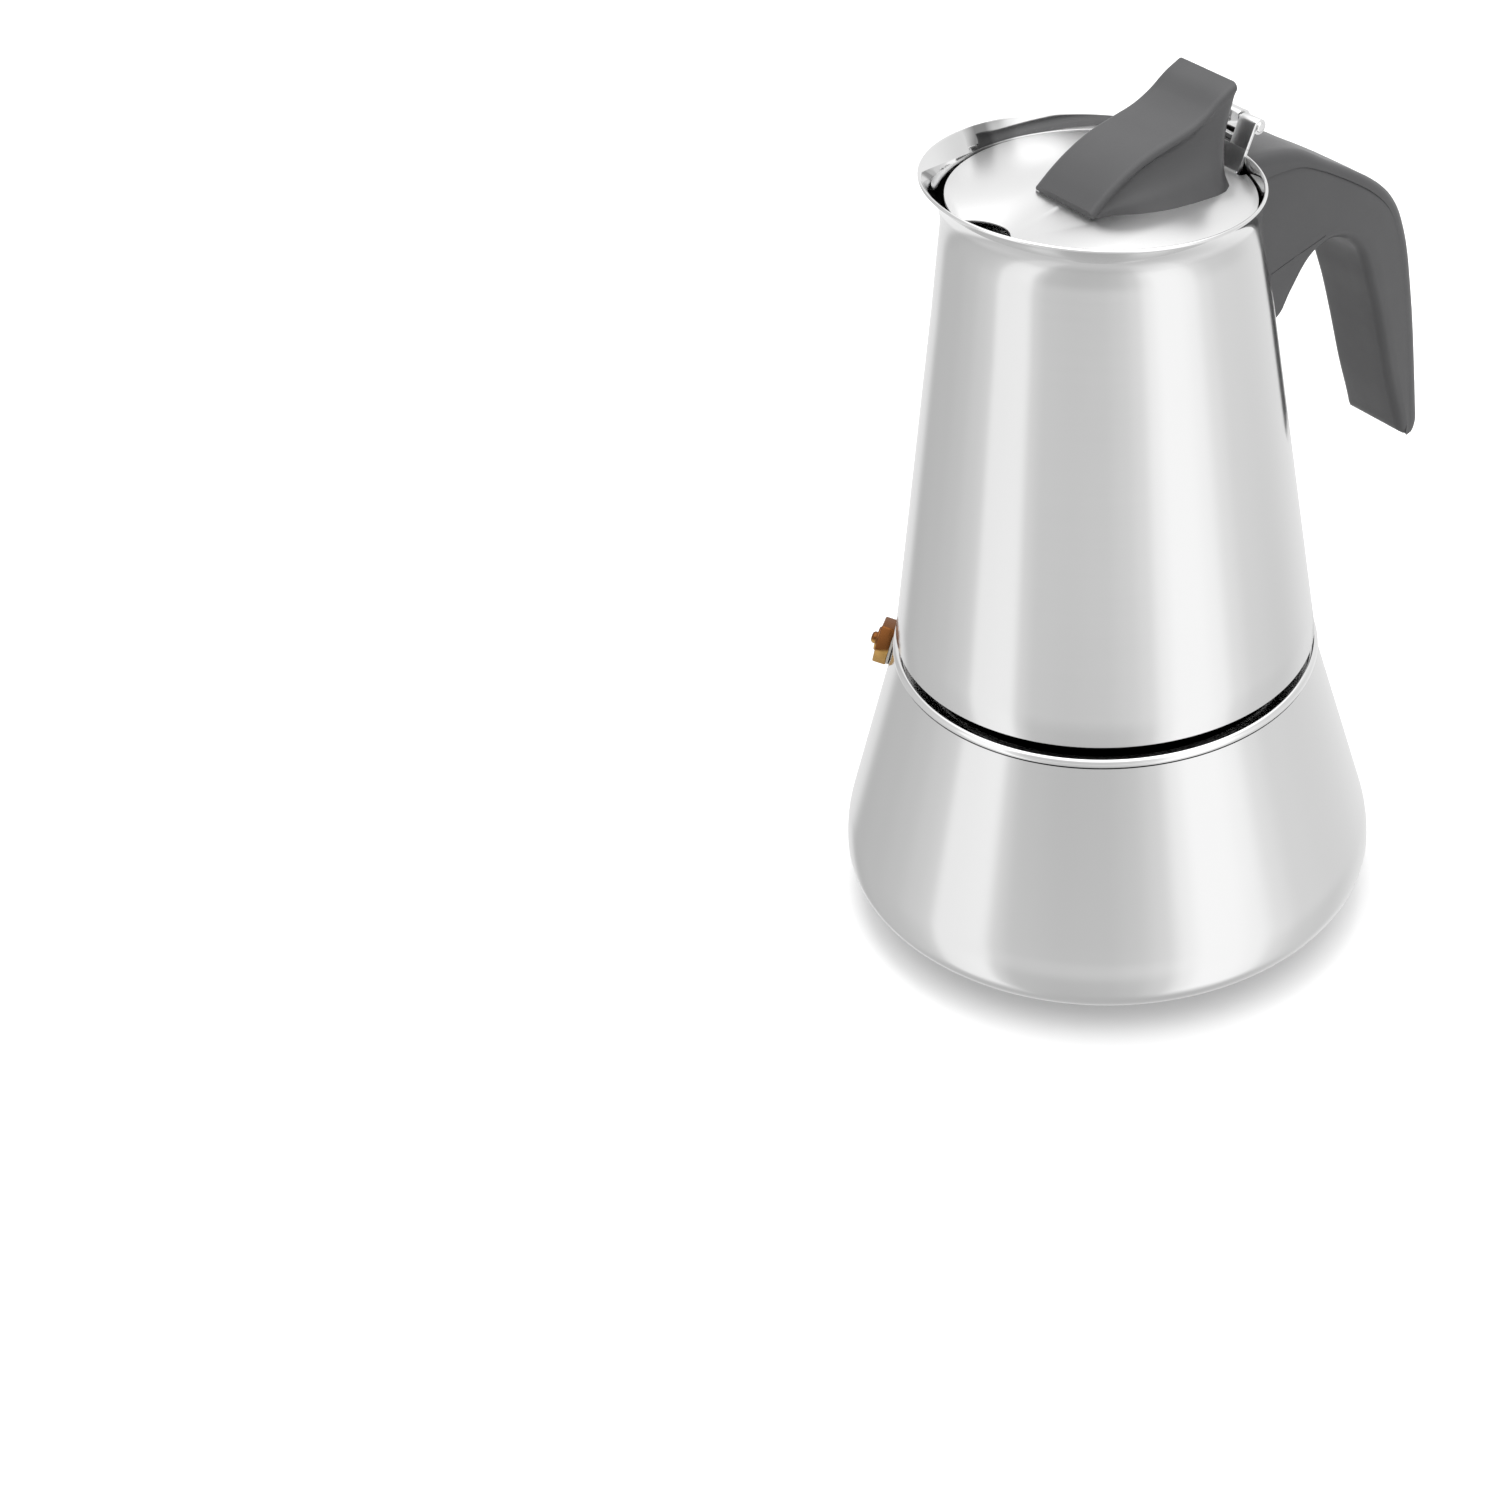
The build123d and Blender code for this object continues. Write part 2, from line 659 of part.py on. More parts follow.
with BuildPart() as handle:
    add(handle_rounded.part)
    add(wall_core.part, mode=Mode.SUBTRACT)
    add(rim_room.part, mode=Mode.SUBTRACT)
    add(cover_zone.part, mode=Mode.SUBTRACT)
    with BuildSketch(Plane.XY.offset(slot_floor_z)) as hinge_slot:
        with Locations(((slot_x[0] + slot_x[1]) / 2, 0)):
            Rectangle(slot_x[1] - slot_x[0], 2 * slot_half)
    extrude(amount=slot_floor_drop, mode=Mode.SUBTRACT)
    with BuildSketch(Plane.XY.offset(bracket_z - slot_gap)) as bracket_slot:
        with Locations(((cut_x + bracket_reach + part_gap) / 2, 0)):
            Rectangle(bracket_reach + part_gap - cut_x, 2 * (bracket_half + slot_gap))
    extrude(amount=bracket_t + 2 * slot_gap, mode=Mode.SUBTRACT)
    with BuildSketch(Plane.XY.offset(bracket_z - bracket_foot_h - slot_gap)) as bracket_foot_slot:
        with Locations((rim_r + 0.3, 0)):
            Rectangle(bracket_foot_t + 2.0, 2 * (bracket_half + slot_gap))
    extrude(amount=bracket_foot_h + bracket_t + 2 * slot_gap, mode=Mode.SUBTRACT)
    with BuildSketch(Plane.XY.offset(strap_foot_z - slot_gap)) as strap_pocket:
        with Locations((rim_r - 0.5, 0)):
            Rectangle(6.0, 2 * (strap_half + slot_gap))
    extrude(amount=8.0, mode=Mode.SUBTRACT)
    with BuildSketch(Plane.XY.offset(foot_z)) as handle_screw_hole:
        with Locations((screw_x, 0)):
            Circle(screw_r + hole_gap)
    extrude(amount=screw_tip_z - foot_z + 1, mode=Mode.SUBTRACT)
    with BuildSketch(Plane.XY.offset(foot_z)) as handle_screw_recess:
        with Locations((screw_x, 0)):
            Circle(screw_head_r + slot_gap)
    extrude(amount=screw_seat_z - foot_z, mode=Mode.SUBTRACT)
handle.part.label = "handle"
export_step(handle.part, "parts/handle.step")

with BuildPart() as cover_lowered:
    with BuildSketch(Plane.XZ.offset(-2 * handle_half)) as cover_cut_side:
        with BuildLine() as cover_cut_line:
            Polyline(under_parting(cover_gap), close=True)
        make_face()
    extrude(amount=4 * handle_half)

with BuildPart() as handle_cover:
    add(handle_rounded.part)
    add(cover_lowered.part, mode=Mode.INTERSECT)
    add(wall_core.part, mode=Mode.SUBTRACT)
handle_cover.part.label = "handle_cover"
export_step(handle_cover.part, "parts/handle_cover.step")

with BuildPart() as handle_bracket:
    with BuildSketch(Plane.XY.offset(bracket_z)) as bracket_tongue:
        with Locations(((back_x - 2.0 + bracket_reach) / 2, 0)):
            Rectangle(bracket_reach - back_x + 2.0, 2 * bracket_half)
    extrude(amount=bracket_t)
    with BuildSketch(Plane.XY.offset(bracket_z - bracket_foot_h)) as bracket_foot:
        with Locations((rim_r - 0.1, 0)):
            Rectangle(bracket_foot_t, 2 * bracket_half)
    extrude(amount=bracket_foot_h + bracket_t)
    add(wall_core.part, mode=Mode.SUBTRACT)
    with BuildSketch(Plane.XY.offset(bracket_z - 1)) as bracket_tap:
        with Locations((screw_x, 0)):
            Circle(screw_r + snug_gap)
    extrude(amount=bracket_t + 2, mode=Mode.SUBTRACT)
handle_bracket.part.label = "handle_bracket"
export_step(handle_bracket.part, "parts/handle_bracket.step")

with BuildPart() as handle_screw:
    with BuildSketch(Plane.XY.offset(screw_seat_z - screw_head_h)) as screw_head:
        with Locations((screw_x, 0)):
            Circle(screw_head_r)
    extrude(amount=screw_head_h)
    fillet(handle_screw.edges().sort_by(Axis.Z)[0], screw_head_edge_r)
    with BuildSketch(Plane.XY.offset(screw_seat_z)) as screw_shank:
        with Locations((screw_x, 0)):
            Circle(screw_r)
    extrude(amount=screw_tip_z - screw_seat_z)
    with BuildSketch(Plane.XY.offset(screw_seat_z - screw_head_h)) as screw_cross:
        with Locations((screw_x, 0)):
            Rectangle(screw_cross_size[0], screw_cross_size[1])
            Rectangle(screw_cross_size[1], screw_cross_size[0])
    extrude(amount=screw_cross_size[2], mode=Mode.SUBTRACT)
handle_screw.part.label = "handle_screw"
export_step(handle_screw.part, "parts/handle_screw.step")

# Hinge ---------------------------------------------------------------------------------

strap_back = rim_r - 2.7
with BuildPart() as hinge_bracket:
    with BuildSketch(Plane.XZ.offset(-strap_half)) as strap_side:
        with BuildLine() as strap_line:
            Polyline(
                (strap_back, strap_foot_z), (strap_x - 0.7, strap_foot_z),
                (strap_x + strap_t / 2, strap_foot_z + 3.0),
                (strap_x + strap_t / 2, hinge_z), (strap_x - strap_t / 2, hinge_z),
                (strap_x - strap_t / 2, strap_foot_z + 5.0), (strap_back, strap_foot_z + 5.0), close=True,
            )
        make_face()
    extrude(amount=2 * strap_half)
    with BuildSketch(Plane.XZ.offset(-mid_knuckle_half)) as strap_knuckle:
        with Locations((hinge_x, hinge_z)):
            Circle(knuckle_r)
    extrude(amount=2 * mid_knuckle_half)
    add(wall_core.part, mode=Mode.SUBTRACT)
    add(rim_room.part, mode=Mode.SUBTRACT)
    with BuildSketch(Plane.XZ.offset(-mid_knuckle_half - 1)) as strap_bore:
        with Locations((hinge_x, hinge_z)):
            Circle(pin_r + snug_gap)
    extrude(amount=2 * mid_knuckle_half + 2, mode=Mode.SUBTRACT)
hinge_bracket.part.label = "hinge_bracket"
export_step(hinge_bracket.part, "parts/hinge_bracket.step")

with BuildPart() as hinge_pin:
    with BuildSketch(Plane.XZ.offset(-pin_half)) as pin_disc:
        with Locations((hinge_x, hinge_z)):
            Circle(pin_r)
    extrude(amount=2 * pin_half)
    fillet(hinge_pin.edges().filter_by(GeomType.CIRCLE), 0.4)
hinge_pin.part.label = "hinge_pin"
export_step(hinge_pin.part, "parts/hinge_pin.step")

# Lid -------------------------------------------------------------------------------------

lid_lean = atan(lid_slope)
lid_up = (sin(lid_lean), 0, cos(lid_lean))
lid_plane = Plane((0, 0, lid_z), x_dir=(cos(lid_lean), 0, -sin(lid_lean)), z_dir=lid_up)

# The tongue rises from the bend to the outside of the knuckle, tangent to it
root = (tongue_root_x, lid_top(tongue_root_x) - lid_t)
reach = hypot(hinge_x - root[0], hinge_z - root[1])
climb = atan((hinge_z - root[1]) / (hinge_x - root[0])) + asin(knuckle_r / reach)
along = (cos(climb), sin(climb))
across = (-sin(climb), cos(climb))
tangent_l = sqrt(reach ** 2 - knuckle_r ** 2)
touch = (root[0] + along[0] * tangent_l, root[1] + along[1] * tangent_l)
with BuildPart() as tongue:
    with BuildSketch(Plane.XZ.offset(-knuckle_half)) as tongue_side:
        with BuildLine() as tongue_line:
            Polyline(
                (root[0] - 1.0, root[1] + lid_slope), (root[0] + 0.4, root[1] - 0.03),
                (touch[0] - across[0] * lid_t, touch[1] - across[1] * lid_t), touch,
                (root[0] - 0.6, root[1] + lid_t + 0.04),
                (root[0] - 1.0, root[1] + lid_t + lid_slope), close=True,
            )
        make_face()
    extrude(amount=2 * knuckle_half)
    with BuildSketch(Plane.XZ.offset(-knuckle_half)) as lid_knuckle:
        with Locations((hinge_x, hinge_z)):
            Circle(knuckle_r)
    extrude(amount=2 * knuckle_half)
    with BuildSketch(Plane.XZ.offset(-mid_knuckle_half - part_gap)) as knuckle_window:
        with Locations((hinge_x, hinge_z)):
            Circle(knuckle_r + 1.6)
    extrude(amount=2 * (mid_knuckle_half + part_gap), mode=Mode.SUBTRACT)
    with BuildSketch(Plane.XZ.offset(-knuckle_half - 1)) as knuckle_bore:
        with Locations((hinge_x, hinge_z)):
            Circle(pin_r + 0.06)
    extrude(amount=2 * knuckle_half + 2, mode=Mode.SUBTRACT)

nick_y = tongue_root_half - nick_w / 2
with BuildPart() as lid_plate:
    with BuildSketch(lid_plane.offset(-lid_t)) as lid_disc:
        Circle(lid_r)
        with Locations((-notch_offset, 0)):
            Circle(notch_r, mode=Mode.SUBTRACT)
        with Locations((lid_r + 0.2, 0)):
            Rectangle(2 * (lid_r + 0.2 - tongue_root_x), 2 * tongue_root_half, mode=Mode.SUBTRACT)
        with Locations((tongue_root_x, nick_y), (tongue_root_x, -nick_y)):
            Circle(nick_w / 2, mode=Mode.SUBTRACT)
        with Locations((knob_screw_x, 0)):
            Circle(lid_screw_r + hole_gap, mode=Mode.SUBTRACT)
        with Locations((knob_peg_x, 0)):
            Circle(peg_r + hole_gap, mode=Mode.SUBTRACT)
    extrude(amount=lid_t)
    fillet(lid_plate.edges().filter_by(GeomType.LINE).group_by(Axis.X)[0], notch_round)
    add(tongue.part)
lid_plate.part.label = "lid_plate"
export_step(lid_plate.part, "parts/lid_plate.step")

# Side view of the knob, as (out from the tongue's root, up from the lid)
knob_top = [
    (-35.5, 2.0), (-31.8, 4.6), (-27.6, 6.9), (-22.6, 8.8), (-16.6, 10.0), (-11.6, 11.0),
    (-7.6, 12.7), (-4.1, 14.9),
    (-0.6, 16.4),
]
knob_back = [(-0.6, 16.4), (-1.2, 10.2), (-4.0, 2.2)]
knob_nose_x = tongue_root_x - 34.8
knob_heel_x = tongue_root_x - 3.0
top_line = [(tongue_root_x + out, lid_z + up) for out, up in knob_top]
back_line = [(tongue_root_x + out, lid_z + up) for out, up in knob_back]


def is_ribbon_edge(edge):
    return (edge @ 0.5).Z > lid_z + 2.1 and (edge @ 0.5).X < tongue_root_x - 6.6


with BuildPart() as knob_body:
    with BuildSketch(Plane.XZ.offset(-knob_half)) as knob_side:
        with BuildLine() as knob_side_line:
            Line((knob_nose_x, lid_top(knob_nose_x)), top_line[0])
            Spline(top_line, tangents=((0.75, 0.65), (0.8, 0.45)))
            Spline(*back_line, (knob_heel_x, lid_top(knob_heel_x)))
            Line((knob_heel_x, lid_top(knob_heel_x)), (knob_nose_x, lid_top(knob_nose_x)))
        make_face()
    extrude(amount=2 * knob_half)
    fillet(knob_body.faces().filter_by(Axis.Y).edges().filter_by(is_ribbon_edge), 0.9)

knob_foot_h = 3.0
knob_foot_narrow = 0.2
knob_foot_half = 7.4
knob_foot_points = [
    (-35.2, 7.3), (-31.2, 8.7), (-26.7, 11.2), (-20.4, 13.2), (-12.0, 13.8), (-7.6, 13.3),
    (-5.4, 11.8), (-3.1, 7.0),
]


def foot_outline(narrowed):
    middle = (knob_foot_points[0][0] + knob_foot_points[-1][0]) / 2
    points = []
    for out, half in knob_foot_points:
        x = tongue_root_x + middle + (out - middle) * (1 - knob_foot_narrow * narrowed)
        points.append((x, half + (knob_foot_half - half) * 0.9 * narrowed))
    return points


with BuildPart() as knob_foot:
    for level, narrowed in ((0.0, 0), (knob_foot_h, 1)):
        outline = foot_outline(narrowed)
        mirrored = [(x, -y) for x, y in reversed(outline)]
        with BuildSketch(lid_plane.offset(level)) as knob_foot_ring:
            with BuildLine() as knob_foot_line:
                Spline(outline)
                Line(outline[-1], mirrored[0])
                Spline(mirrored)
                Line(mirrored[-1], outline[0])
            make_face()
    loft()

with BuildPart() as lid_knob:
    add(knob_body.part)
    add(knob_foot.part)
    with BuildSketch(lid_plane.offset(-lid_t - 1.0)) as knob_peg:
        with Locations((knob_peg_x, 0)):
            Circle(peg_r)
    extrude(amount=lid_t + 2.0)
    with BuildSketch(lid_plane) as knob_screw_hole:
        with Locations((knob_screw_x, 0)):
            Circle(lid_screw_r + snug_gap)
    extrude(amount=8.0, mode=Mode.SUBTRACT)
lid_knob.part.label = "lid_knob"
export_step(lid_knob.part, "parts/lid_knob.step")

with BuildPart() as lid_screw:
    with BuildSketch(lid_plane.offset(-lid_t - lid_screw_head_h - snug_gap)) as lid_screw_head:
        with Locations((knob_screw_x, 0)):
            Circle(lid_screw_head_r)
    extrude(amount=lid_screw_head_h)
    fillet(lid_screw.edges().sort_by(Axis.Z)[0], lid_screw_edge_r)
    with BuildSketch(lid_plane.offset(-lid_t - snug_gap)) as lid_screw_shank:
        with Locations((knob_screw_x, 0)):
            Circle(lid_screw_r)
    extrude(amount=lid_t + lid_screw_grip)
    with BuildSketch(lid_plane.offset(-lid_t - lid_screw_head_h - snug_gap)) as lid_screw_cross:
        with Locations((knob_screw_x, 0)):
            Rectangle(lid_screw_cross_size[0], lid_screw_cross_size[1])
            Rectangle(lid_screw_cross_size[1], lid_screw_cross_size[0])
    extrude(amount=lid_screw_cross_size[2], mode=Mode.SUBTRACT)
lid_screw.part.label = "lid_screw"
export_step(lid_screw.part, "parts/lid_screw.step")
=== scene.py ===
import json
import math
import bmesh
import bpy
from mathutils import Matrix, Vector
from mathutils.geometry import interpolate_bezier


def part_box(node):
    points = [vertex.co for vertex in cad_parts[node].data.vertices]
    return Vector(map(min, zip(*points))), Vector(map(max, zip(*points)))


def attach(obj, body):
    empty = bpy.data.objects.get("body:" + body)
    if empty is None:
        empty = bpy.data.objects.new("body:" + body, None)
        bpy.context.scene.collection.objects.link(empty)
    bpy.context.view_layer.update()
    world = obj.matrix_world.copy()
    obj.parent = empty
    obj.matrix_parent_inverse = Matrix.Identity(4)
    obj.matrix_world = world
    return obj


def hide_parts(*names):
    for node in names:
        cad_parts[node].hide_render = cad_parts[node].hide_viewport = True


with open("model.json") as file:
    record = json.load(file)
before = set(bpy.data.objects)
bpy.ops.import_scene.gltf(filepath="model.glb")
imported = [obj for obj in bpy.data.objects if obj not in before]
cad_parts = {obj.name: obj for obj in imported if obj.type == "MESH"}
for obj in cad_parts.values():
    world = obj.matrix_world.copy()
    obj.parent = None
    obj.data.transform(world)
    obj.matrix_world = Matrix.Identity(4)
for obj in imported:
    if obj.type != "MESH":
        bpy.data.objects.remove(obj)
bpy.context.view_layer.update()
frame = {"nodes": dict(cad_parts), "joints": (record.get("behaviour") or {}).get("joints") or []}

mm = 0.001   # sizes below are in millimetres


# sums of sockets, and a short way to add nodes

class Wire:   # one socket, usable in sums
    def __init__(self, tree, socket):
        self.tree = tree
        self.socket = socket

    def join(self, operation, other=0.0, swap=False):
        node = self.tree.nodes.new("ShaderNodeMath")
        node.operation = operation
        ends = (other, self) if swap else (self, other)
        for slot, end in zip(node.inputs, ends):
            plug(self.tree, slot, end)
        return Wire(self.tree, node.outputs[0])

    def __add__(self, other):
        return self.join("ADD", other)

    def __sub__(self, other):
        return self.join("SUBTRACT", other)

    def __mul__(self, other):
        return self.join("MULTIPLY", other)

    def __truediv__(self, other):
        return self.join("DIVIDE", other)

    def __rsub__(self, other):
        return self.join("SUBTRACT", other, swap=True)

    __radd__ = __add__
    __rmul__ = __mul__


def plug(tree, slot, value):
    if isinstance(value, Wire):
        tree.links.new(value.socket, slot)
    else:
        slot.default_value = value


class Wiring:   # the node tree of a finish, or of the world
    def __init__(self, tree):
        self.tree = tree

    def add(self, kind, settings=None, values=None, out=0):
        node = self.tree.nodes.new(kind)
        for name, value in (settings or {}).items():
            if name == "stops":
                setStops(node.color_ramp, value)
            else:
                setattr(node, name, value)
        for name, value in (values or {}).items():
            plug(self.tree, node.inputs[name], value)
        return Wire(self.tree, node.outputs[out])

    def place(self, scale=(1, 1, 1), centre=(0, 0, 0), turn=(0, 0, 0)):
        coords = self.add("ShaderNodeTexCoord", out="Object")
        move = tuple(-c * s for c, s in zip(centre, scale))
        return self.add("ShaderNodeMapping", {}, {
            "Vector": coords, "Location": move, "Rotation": turn, "Scale": scale})

    def height(self):   # how high a spot is, in metres
        return self.add("ShaderNodeSeparateXYZ", {}, {"Vector": self.place()}, out=2)

    def noise(self, where, scale, detail=2.0, rough=0.5):
        return self.add("ShaderNodeTexNoise", {}, {
            "Vector": where, "Scale": scale, "Detail": detail, "Roughness": rough})

    def ramp(self, value, stops):
        made = self.add("ShaderNodeValToRGB", {"stops": stops}, {"Fac": value})
        made.socket.node.color_ramp.interpolation = "EASE"
        return made

    def tint(self, amount, colourA, colourB):
        return self.add("ShaderNodeMix", {"data_type": "RGBA"}, {0: amount, 6: colourA, 7: colourB}, out=2)

    def bump(self, height, strength, distance):
        return self.add("ShaderNodeBump", {}, {
            "Height": height, "Strength": strength, "Distance": distance})


def setStops(ramp, stops):
    while len(ramp.elements) < len(stops):
        ramp.elements.new(0.5)
    for element, (spot, value) in zip(ramp.elements, stops):
        element.position = spot
        element.color = (value, value, value, 1)


def finish(name, sockets):
    material = bpy.data.materials.new(name)
    material.use_nodes = True
    wiring = Wiring(material.node_tree)
    shader = material.node_tree.nodes["Principled BSDF"]
    for slot, value in sockets(wiring).items():
        plug(wiring.tree, shader.inputs[slot], value)
    return material


# the metals, the plastic and the rubber

steelLook = {
    "colour": (0.745, 0.745, 0.745, 1), "shade": (0.715, 0.715, 0.715, 1), "roughness": 0.155,
    "grain": 1500.0, "grainStretch": 0.02, "grainDepth": 0.0000012, "grainBump": 0.25,
    "drawn": 0.75, "drawnTurn": 0.25, "cloud": 34.0, "cloudStretch": 0.35, "smudge": 160.0,
    "vary": 0.05, "smudgeVary": 0.02,
}


def satinSteel(wiring, look=steelLook):
    stretch = look["grainStretch"]
    lines = wiring.noise(wiring.place((stretch, stretch, 1)), look["grain"], 3.0, 0.6)
    cloud = wiring.noise(wiring.place((1, 1, look["cloudStretch"])), look["cloud"], 3.0, 0.55)
    smudge = wiring.noise(wiring.place(), look["smudge"], 2.0)
    uneven = (lines - 0.5) * look["vary"] + (cloud - 0.5) * look["vary"] + (smudge - 0.5) * look["smudgeVary"]
    return {
        "Base Color": wiring.tint(cloud, look["colour"], look["shade"]),
        "Metallic": 1.0,
        "Roughness": look["roughness"] + uneven,
        "Anisotropic": look["drawn"],
        "Anisotropic Rotation": look["drawnTurn"],
        "Normal": wiring.bump(lines, look["grainBump"], look["grainDepth"]),
    }


mirrorLook = {
    "colour": (0.86, 0.86, 0.86, 1), "shade": (0.82, 0.82, 0.82, 1), "roughness": 0.05,
    "cloud": 60.0, "middle": 0.4, "cloudVary": 0.05, "hairVary": 0.02, "bump": 0.25, "depth": 0.00001,
}
lidLook = {
    "colour": (0.86, 0.86, 0.86, 1), "shade": (0.845, 0.845, 0.845, 1), "roughness": 0.30,
    "cloud": 60.0, "middle": 0.5, "cloudVary": 0.04, "hairVary": 0.03, "bump": 0.1, "depth": 0.000001,
}
hairLook = {"scale": 2600.0, "stretch": (0.05, 1, 1), "turn": (0, 0, 0.5)}


def polishedSteel(wiring, look, bumpFrom):
    cloud = wiring.noise(wiring.place(), look["cloud"], 2.0)
    brushed = wiring.place(hairLook["stretch"], turn=hairLook["turn"])
    hairs = wiring.noise(brushed, hairLook["scale"], 2.0)
    uneven = (cloud - look["middle"]) * look["cloudVary"] + (hairs - 0.5) * look["hairVary"]
    relief = {"cloud": cloud, "hairs": hairs}[bumpFrom]
    return {
        "Base Color": wiring.tint(cloud, look["colour"], look["shade"]),
        "Metallic": 1.0,
        "Roughness": look["roughness"] + uneven,
        "Normal": wiring.bump(relief, look["bump"], look["depth"]),
    }


def mirrorSteel(wiring):
    return polishedSteel(wiring, mirrorLook, "cloud")


def lidSteel(wiring):
    return polishedSteel(wiring, lidLook, "hairs")


# dark is the colour of the painted reflection streaks on the polished flare's inner side
collectorLook = {
    "polishFrom": 0.1588, "polishWidth": 0.0012, "tilt": 0.085, "dark": (0.20, 0.20, 0.20, 1),
    "paintedReflectionStreaks": 62.0, "streakStretch": 0.15, "contrast": 9.0, "lift": 0.05, "most": 0.85,
}


def clamped(value, low=0.0, high=1.0):
    return value.join("MAXIMUM", low).join("MINIMUM", high)


def collectorSteel(wiring, look=collectorLook):   # satin wall, polished flare, painted reflections as dark streaks on its inner side
    satin = satinSteel(wiring)
    x = wiring.add("ShaderNodeSeparateXYZ", {}, {"Vector": wiring.place()}, out=0)
    polish = clamped((x * look["tilt"] + wiring.height() - look["polishFrom"]) / look["polishWidth"])
    paintedReflectionStreaks = wiring.noise(wiring.place((1, 1, look["streakStretch"])), look["paintedReflectionStreaks"], 2.0, 0.4)
    paintedReflectionStreaks = clamped((paintedReflectionStreaks - 0.5) * look["contrast"] + look["lift"], 0.0, look["most"])
    facing = wiring.add("ShaderNodeTexCoord", out="Normal")
    level = wiring.place((1, 1, 0))
    outward = wiring.add("ShaderNodeVectorMath", {"operation": "DOT_PRODUCT"}, {0: facing, 1: level}, out=1)
    # painted reflection: the polished flare's inner side gets dark streaks in its colour
    shine = wiring.tint(paintedReflectionStreaks * outward.join("LESS_THAN", 0.0), mirrorLook["colour"], look["dark"])
    return {
        **satin,
        "Base Color": wiring.tint(polish, satin["Base Color"], shine),
        "Roughness": satin["Roughness"] * (1 - polish) + polish * mirrorLook["roughness"],
    }


plasticLook = {
    "colour": (0.066, 0.066, 0.068, 1), "shade": (0.056, 0.056, 0.058, 1), "roughness": 0.38,
    "grain": 2400.0, "cloud": 90.0, "cloudVary": 0.12, "grainVary": 0.10, "bump": 0.35, "depth": 0.00003,
}


def moldedPlastic(wiring, look=plasticLook):
    grain = wiring.noise(wiring.place(), look["grain"], 2.0, 0.6)
    cloud = wiring.noise(wiring.place(), look["cloud"], 3.0)
    uneven = (cloud - 0.5) * look["cloudVary"] + (grain - 0.5) * look["grainVary"]
    return {
        "Base Color": wiring.tint(cloud, look["colour"], look["shade"]),
        "Roughness": look["roughness"] + uneven,
        "Normal": wiring.bump(grain, look["bump"], look["depth"]),
    }


brassLook = {
    "colour": (0.66, 0.40, 0.13, 1), "shade": (0.50, 0.28, 0.075, 1), "roughness": 0.26,
    "upperColour": (0.20, 0.075, 0.022, 1), "upperFrom": 0.0546, "upperWidth": 0.0006,
    "cloud": 700.0, "lines": 1500.0, "stretch": 8, "cloudVary": 0.2, "lineVary": 0.08,
    "bump": 0.3, "depth": 0.00001,
}


def turnedBrass(wiring, look=brassLook):
    cloud = wiring.noise(wiring.place(), look["cloud"], 3.0)
    lines = wiring.noise(wiring.place((1, 1, look["stretch"])), look["lines"], 2.0)
    # the valve's colour turns dark brown above a set height, with a short blend
    upperShare = clamped((wiring.height() - look["upperFrom"]) / look["upperWidth"])
    metal = wiring.tint(cloud, look["colour"], look["shade"])
    uneven = (cloud - 0.5) * look["cloudVary"] + (lines - 0.5) * look["lineVary"]
    return {
        "Base Color": wiring.tint(upperShare, metal, look["upperColour"]),
        "Metallic": 1.0,
        "Roughness": look["roughness"] + uneven,
        "Normal": wiring.bump(lines, look["bump"], look["depth"]),
    }


siliconeLook = {
    "colour": (0.82, 0.81, 0.78, 1), "shade": (0.72, 0.71, 0.68, 1), "roughness": 0.55,
    "scale": 120.0, "vary": 0.15, "bump": 0.2, "depth": 0.00003,
}
fibreLook = {
    "colour": (0.46, 0.44, 0.40, 1), "shade": (0.34, 0.32, 0.29, 1), "roughness": 0.7,
    "scale": 1800.0, "vary": 0.2, "bump": 0.4, "depth": 0.00005,
}


def softStuff(wiring, look):   # dull and not metal, one noise for all
    flecks = wiring.noise(wiring.place(), look["scale"], 3.0)
    return {
        "Base Color": wiring.tint(flecks, look["colour"], look["shade"]),
        "Roughness": look["roughness"] + (flecks - 0.5) * look["vary"],
        "Normal": wiring.bump(flecks, look["bump"], look["depth"]),
    }


def siliconeRubber(wiring):
    return softStuff(wiring, siliconeLook)


def paleFibre(wiring):
    return softStuff(wiring, fibreLook)


neckLook = {"beadTop": 0.06095, "beadFoot": 0.05915, "paintedShadeColour": (0.02, 0.02, 0.02, 1)}


def neckSteel(wiring):   # the bead keeps the bright mirror finish; the slot above it and the step under it are coloured near-black as painted shade
    bright = mirrorSteel(wiring)
    height = wiring.height()
    step = height.join("LESS_THAN", neckLook["beadFoot"])
    # painted shade: near-black colour over the slot above the bead and the step below it
    slot = height.join("GREATER_THAN", neckLook["beadTop"]).join("MAXIMUM", step)
    return {**bright, "Base Color": wiring.tint(slot, bright["Base Color"], neckLook["paintedShadeColour"])}


steel = finish("satinSteel", satinSteel)
shellSteel = finish("collectorSteel", collectorSteel)
mirror = finish("mirrorSteel", mirrorSteel)
lidMetal = finish("lidSteel", lidSteel)
plastic = finish("moldedPlastic", moldedPlastic)
brass = finish("turnedBrass", turnedBrass)
silicone = finish("siliconeRubber", siliconeRubber)
fibre = finish("paleFibre", paleFibre)
neckMetal = finish("neckSteel", neckSteel)
plainCoats = {   # the pieces from the frame that aren't plain satin steel
    "valve_body": brass, "valve_nut": brass, "valve_plunger": brass, "valve_washer": fibre,
    "gasket": silicone, "hinge_pin": mirror, "hinge_bracket": mirror, "lid_screw": mirror,
}
for nodeName, node in frame["nodes"].items():
    for slot in node.material_slots:
        slot.material = plainCoats.get(nodeName, steel)
print("finishes ready")


# helpers that several pieces share

def arc(centre, radii, start, end, count):   # points of an ellipse's arc, angles in degrees
    points = []
    for step in range(count + 1):
        angle = math.radians(start + (end - start) * step / count)
        points.append((centre[0] + radii[0] * math.cos(angle), centre[1] + radii[1] * math.sin(angle)))
    return points


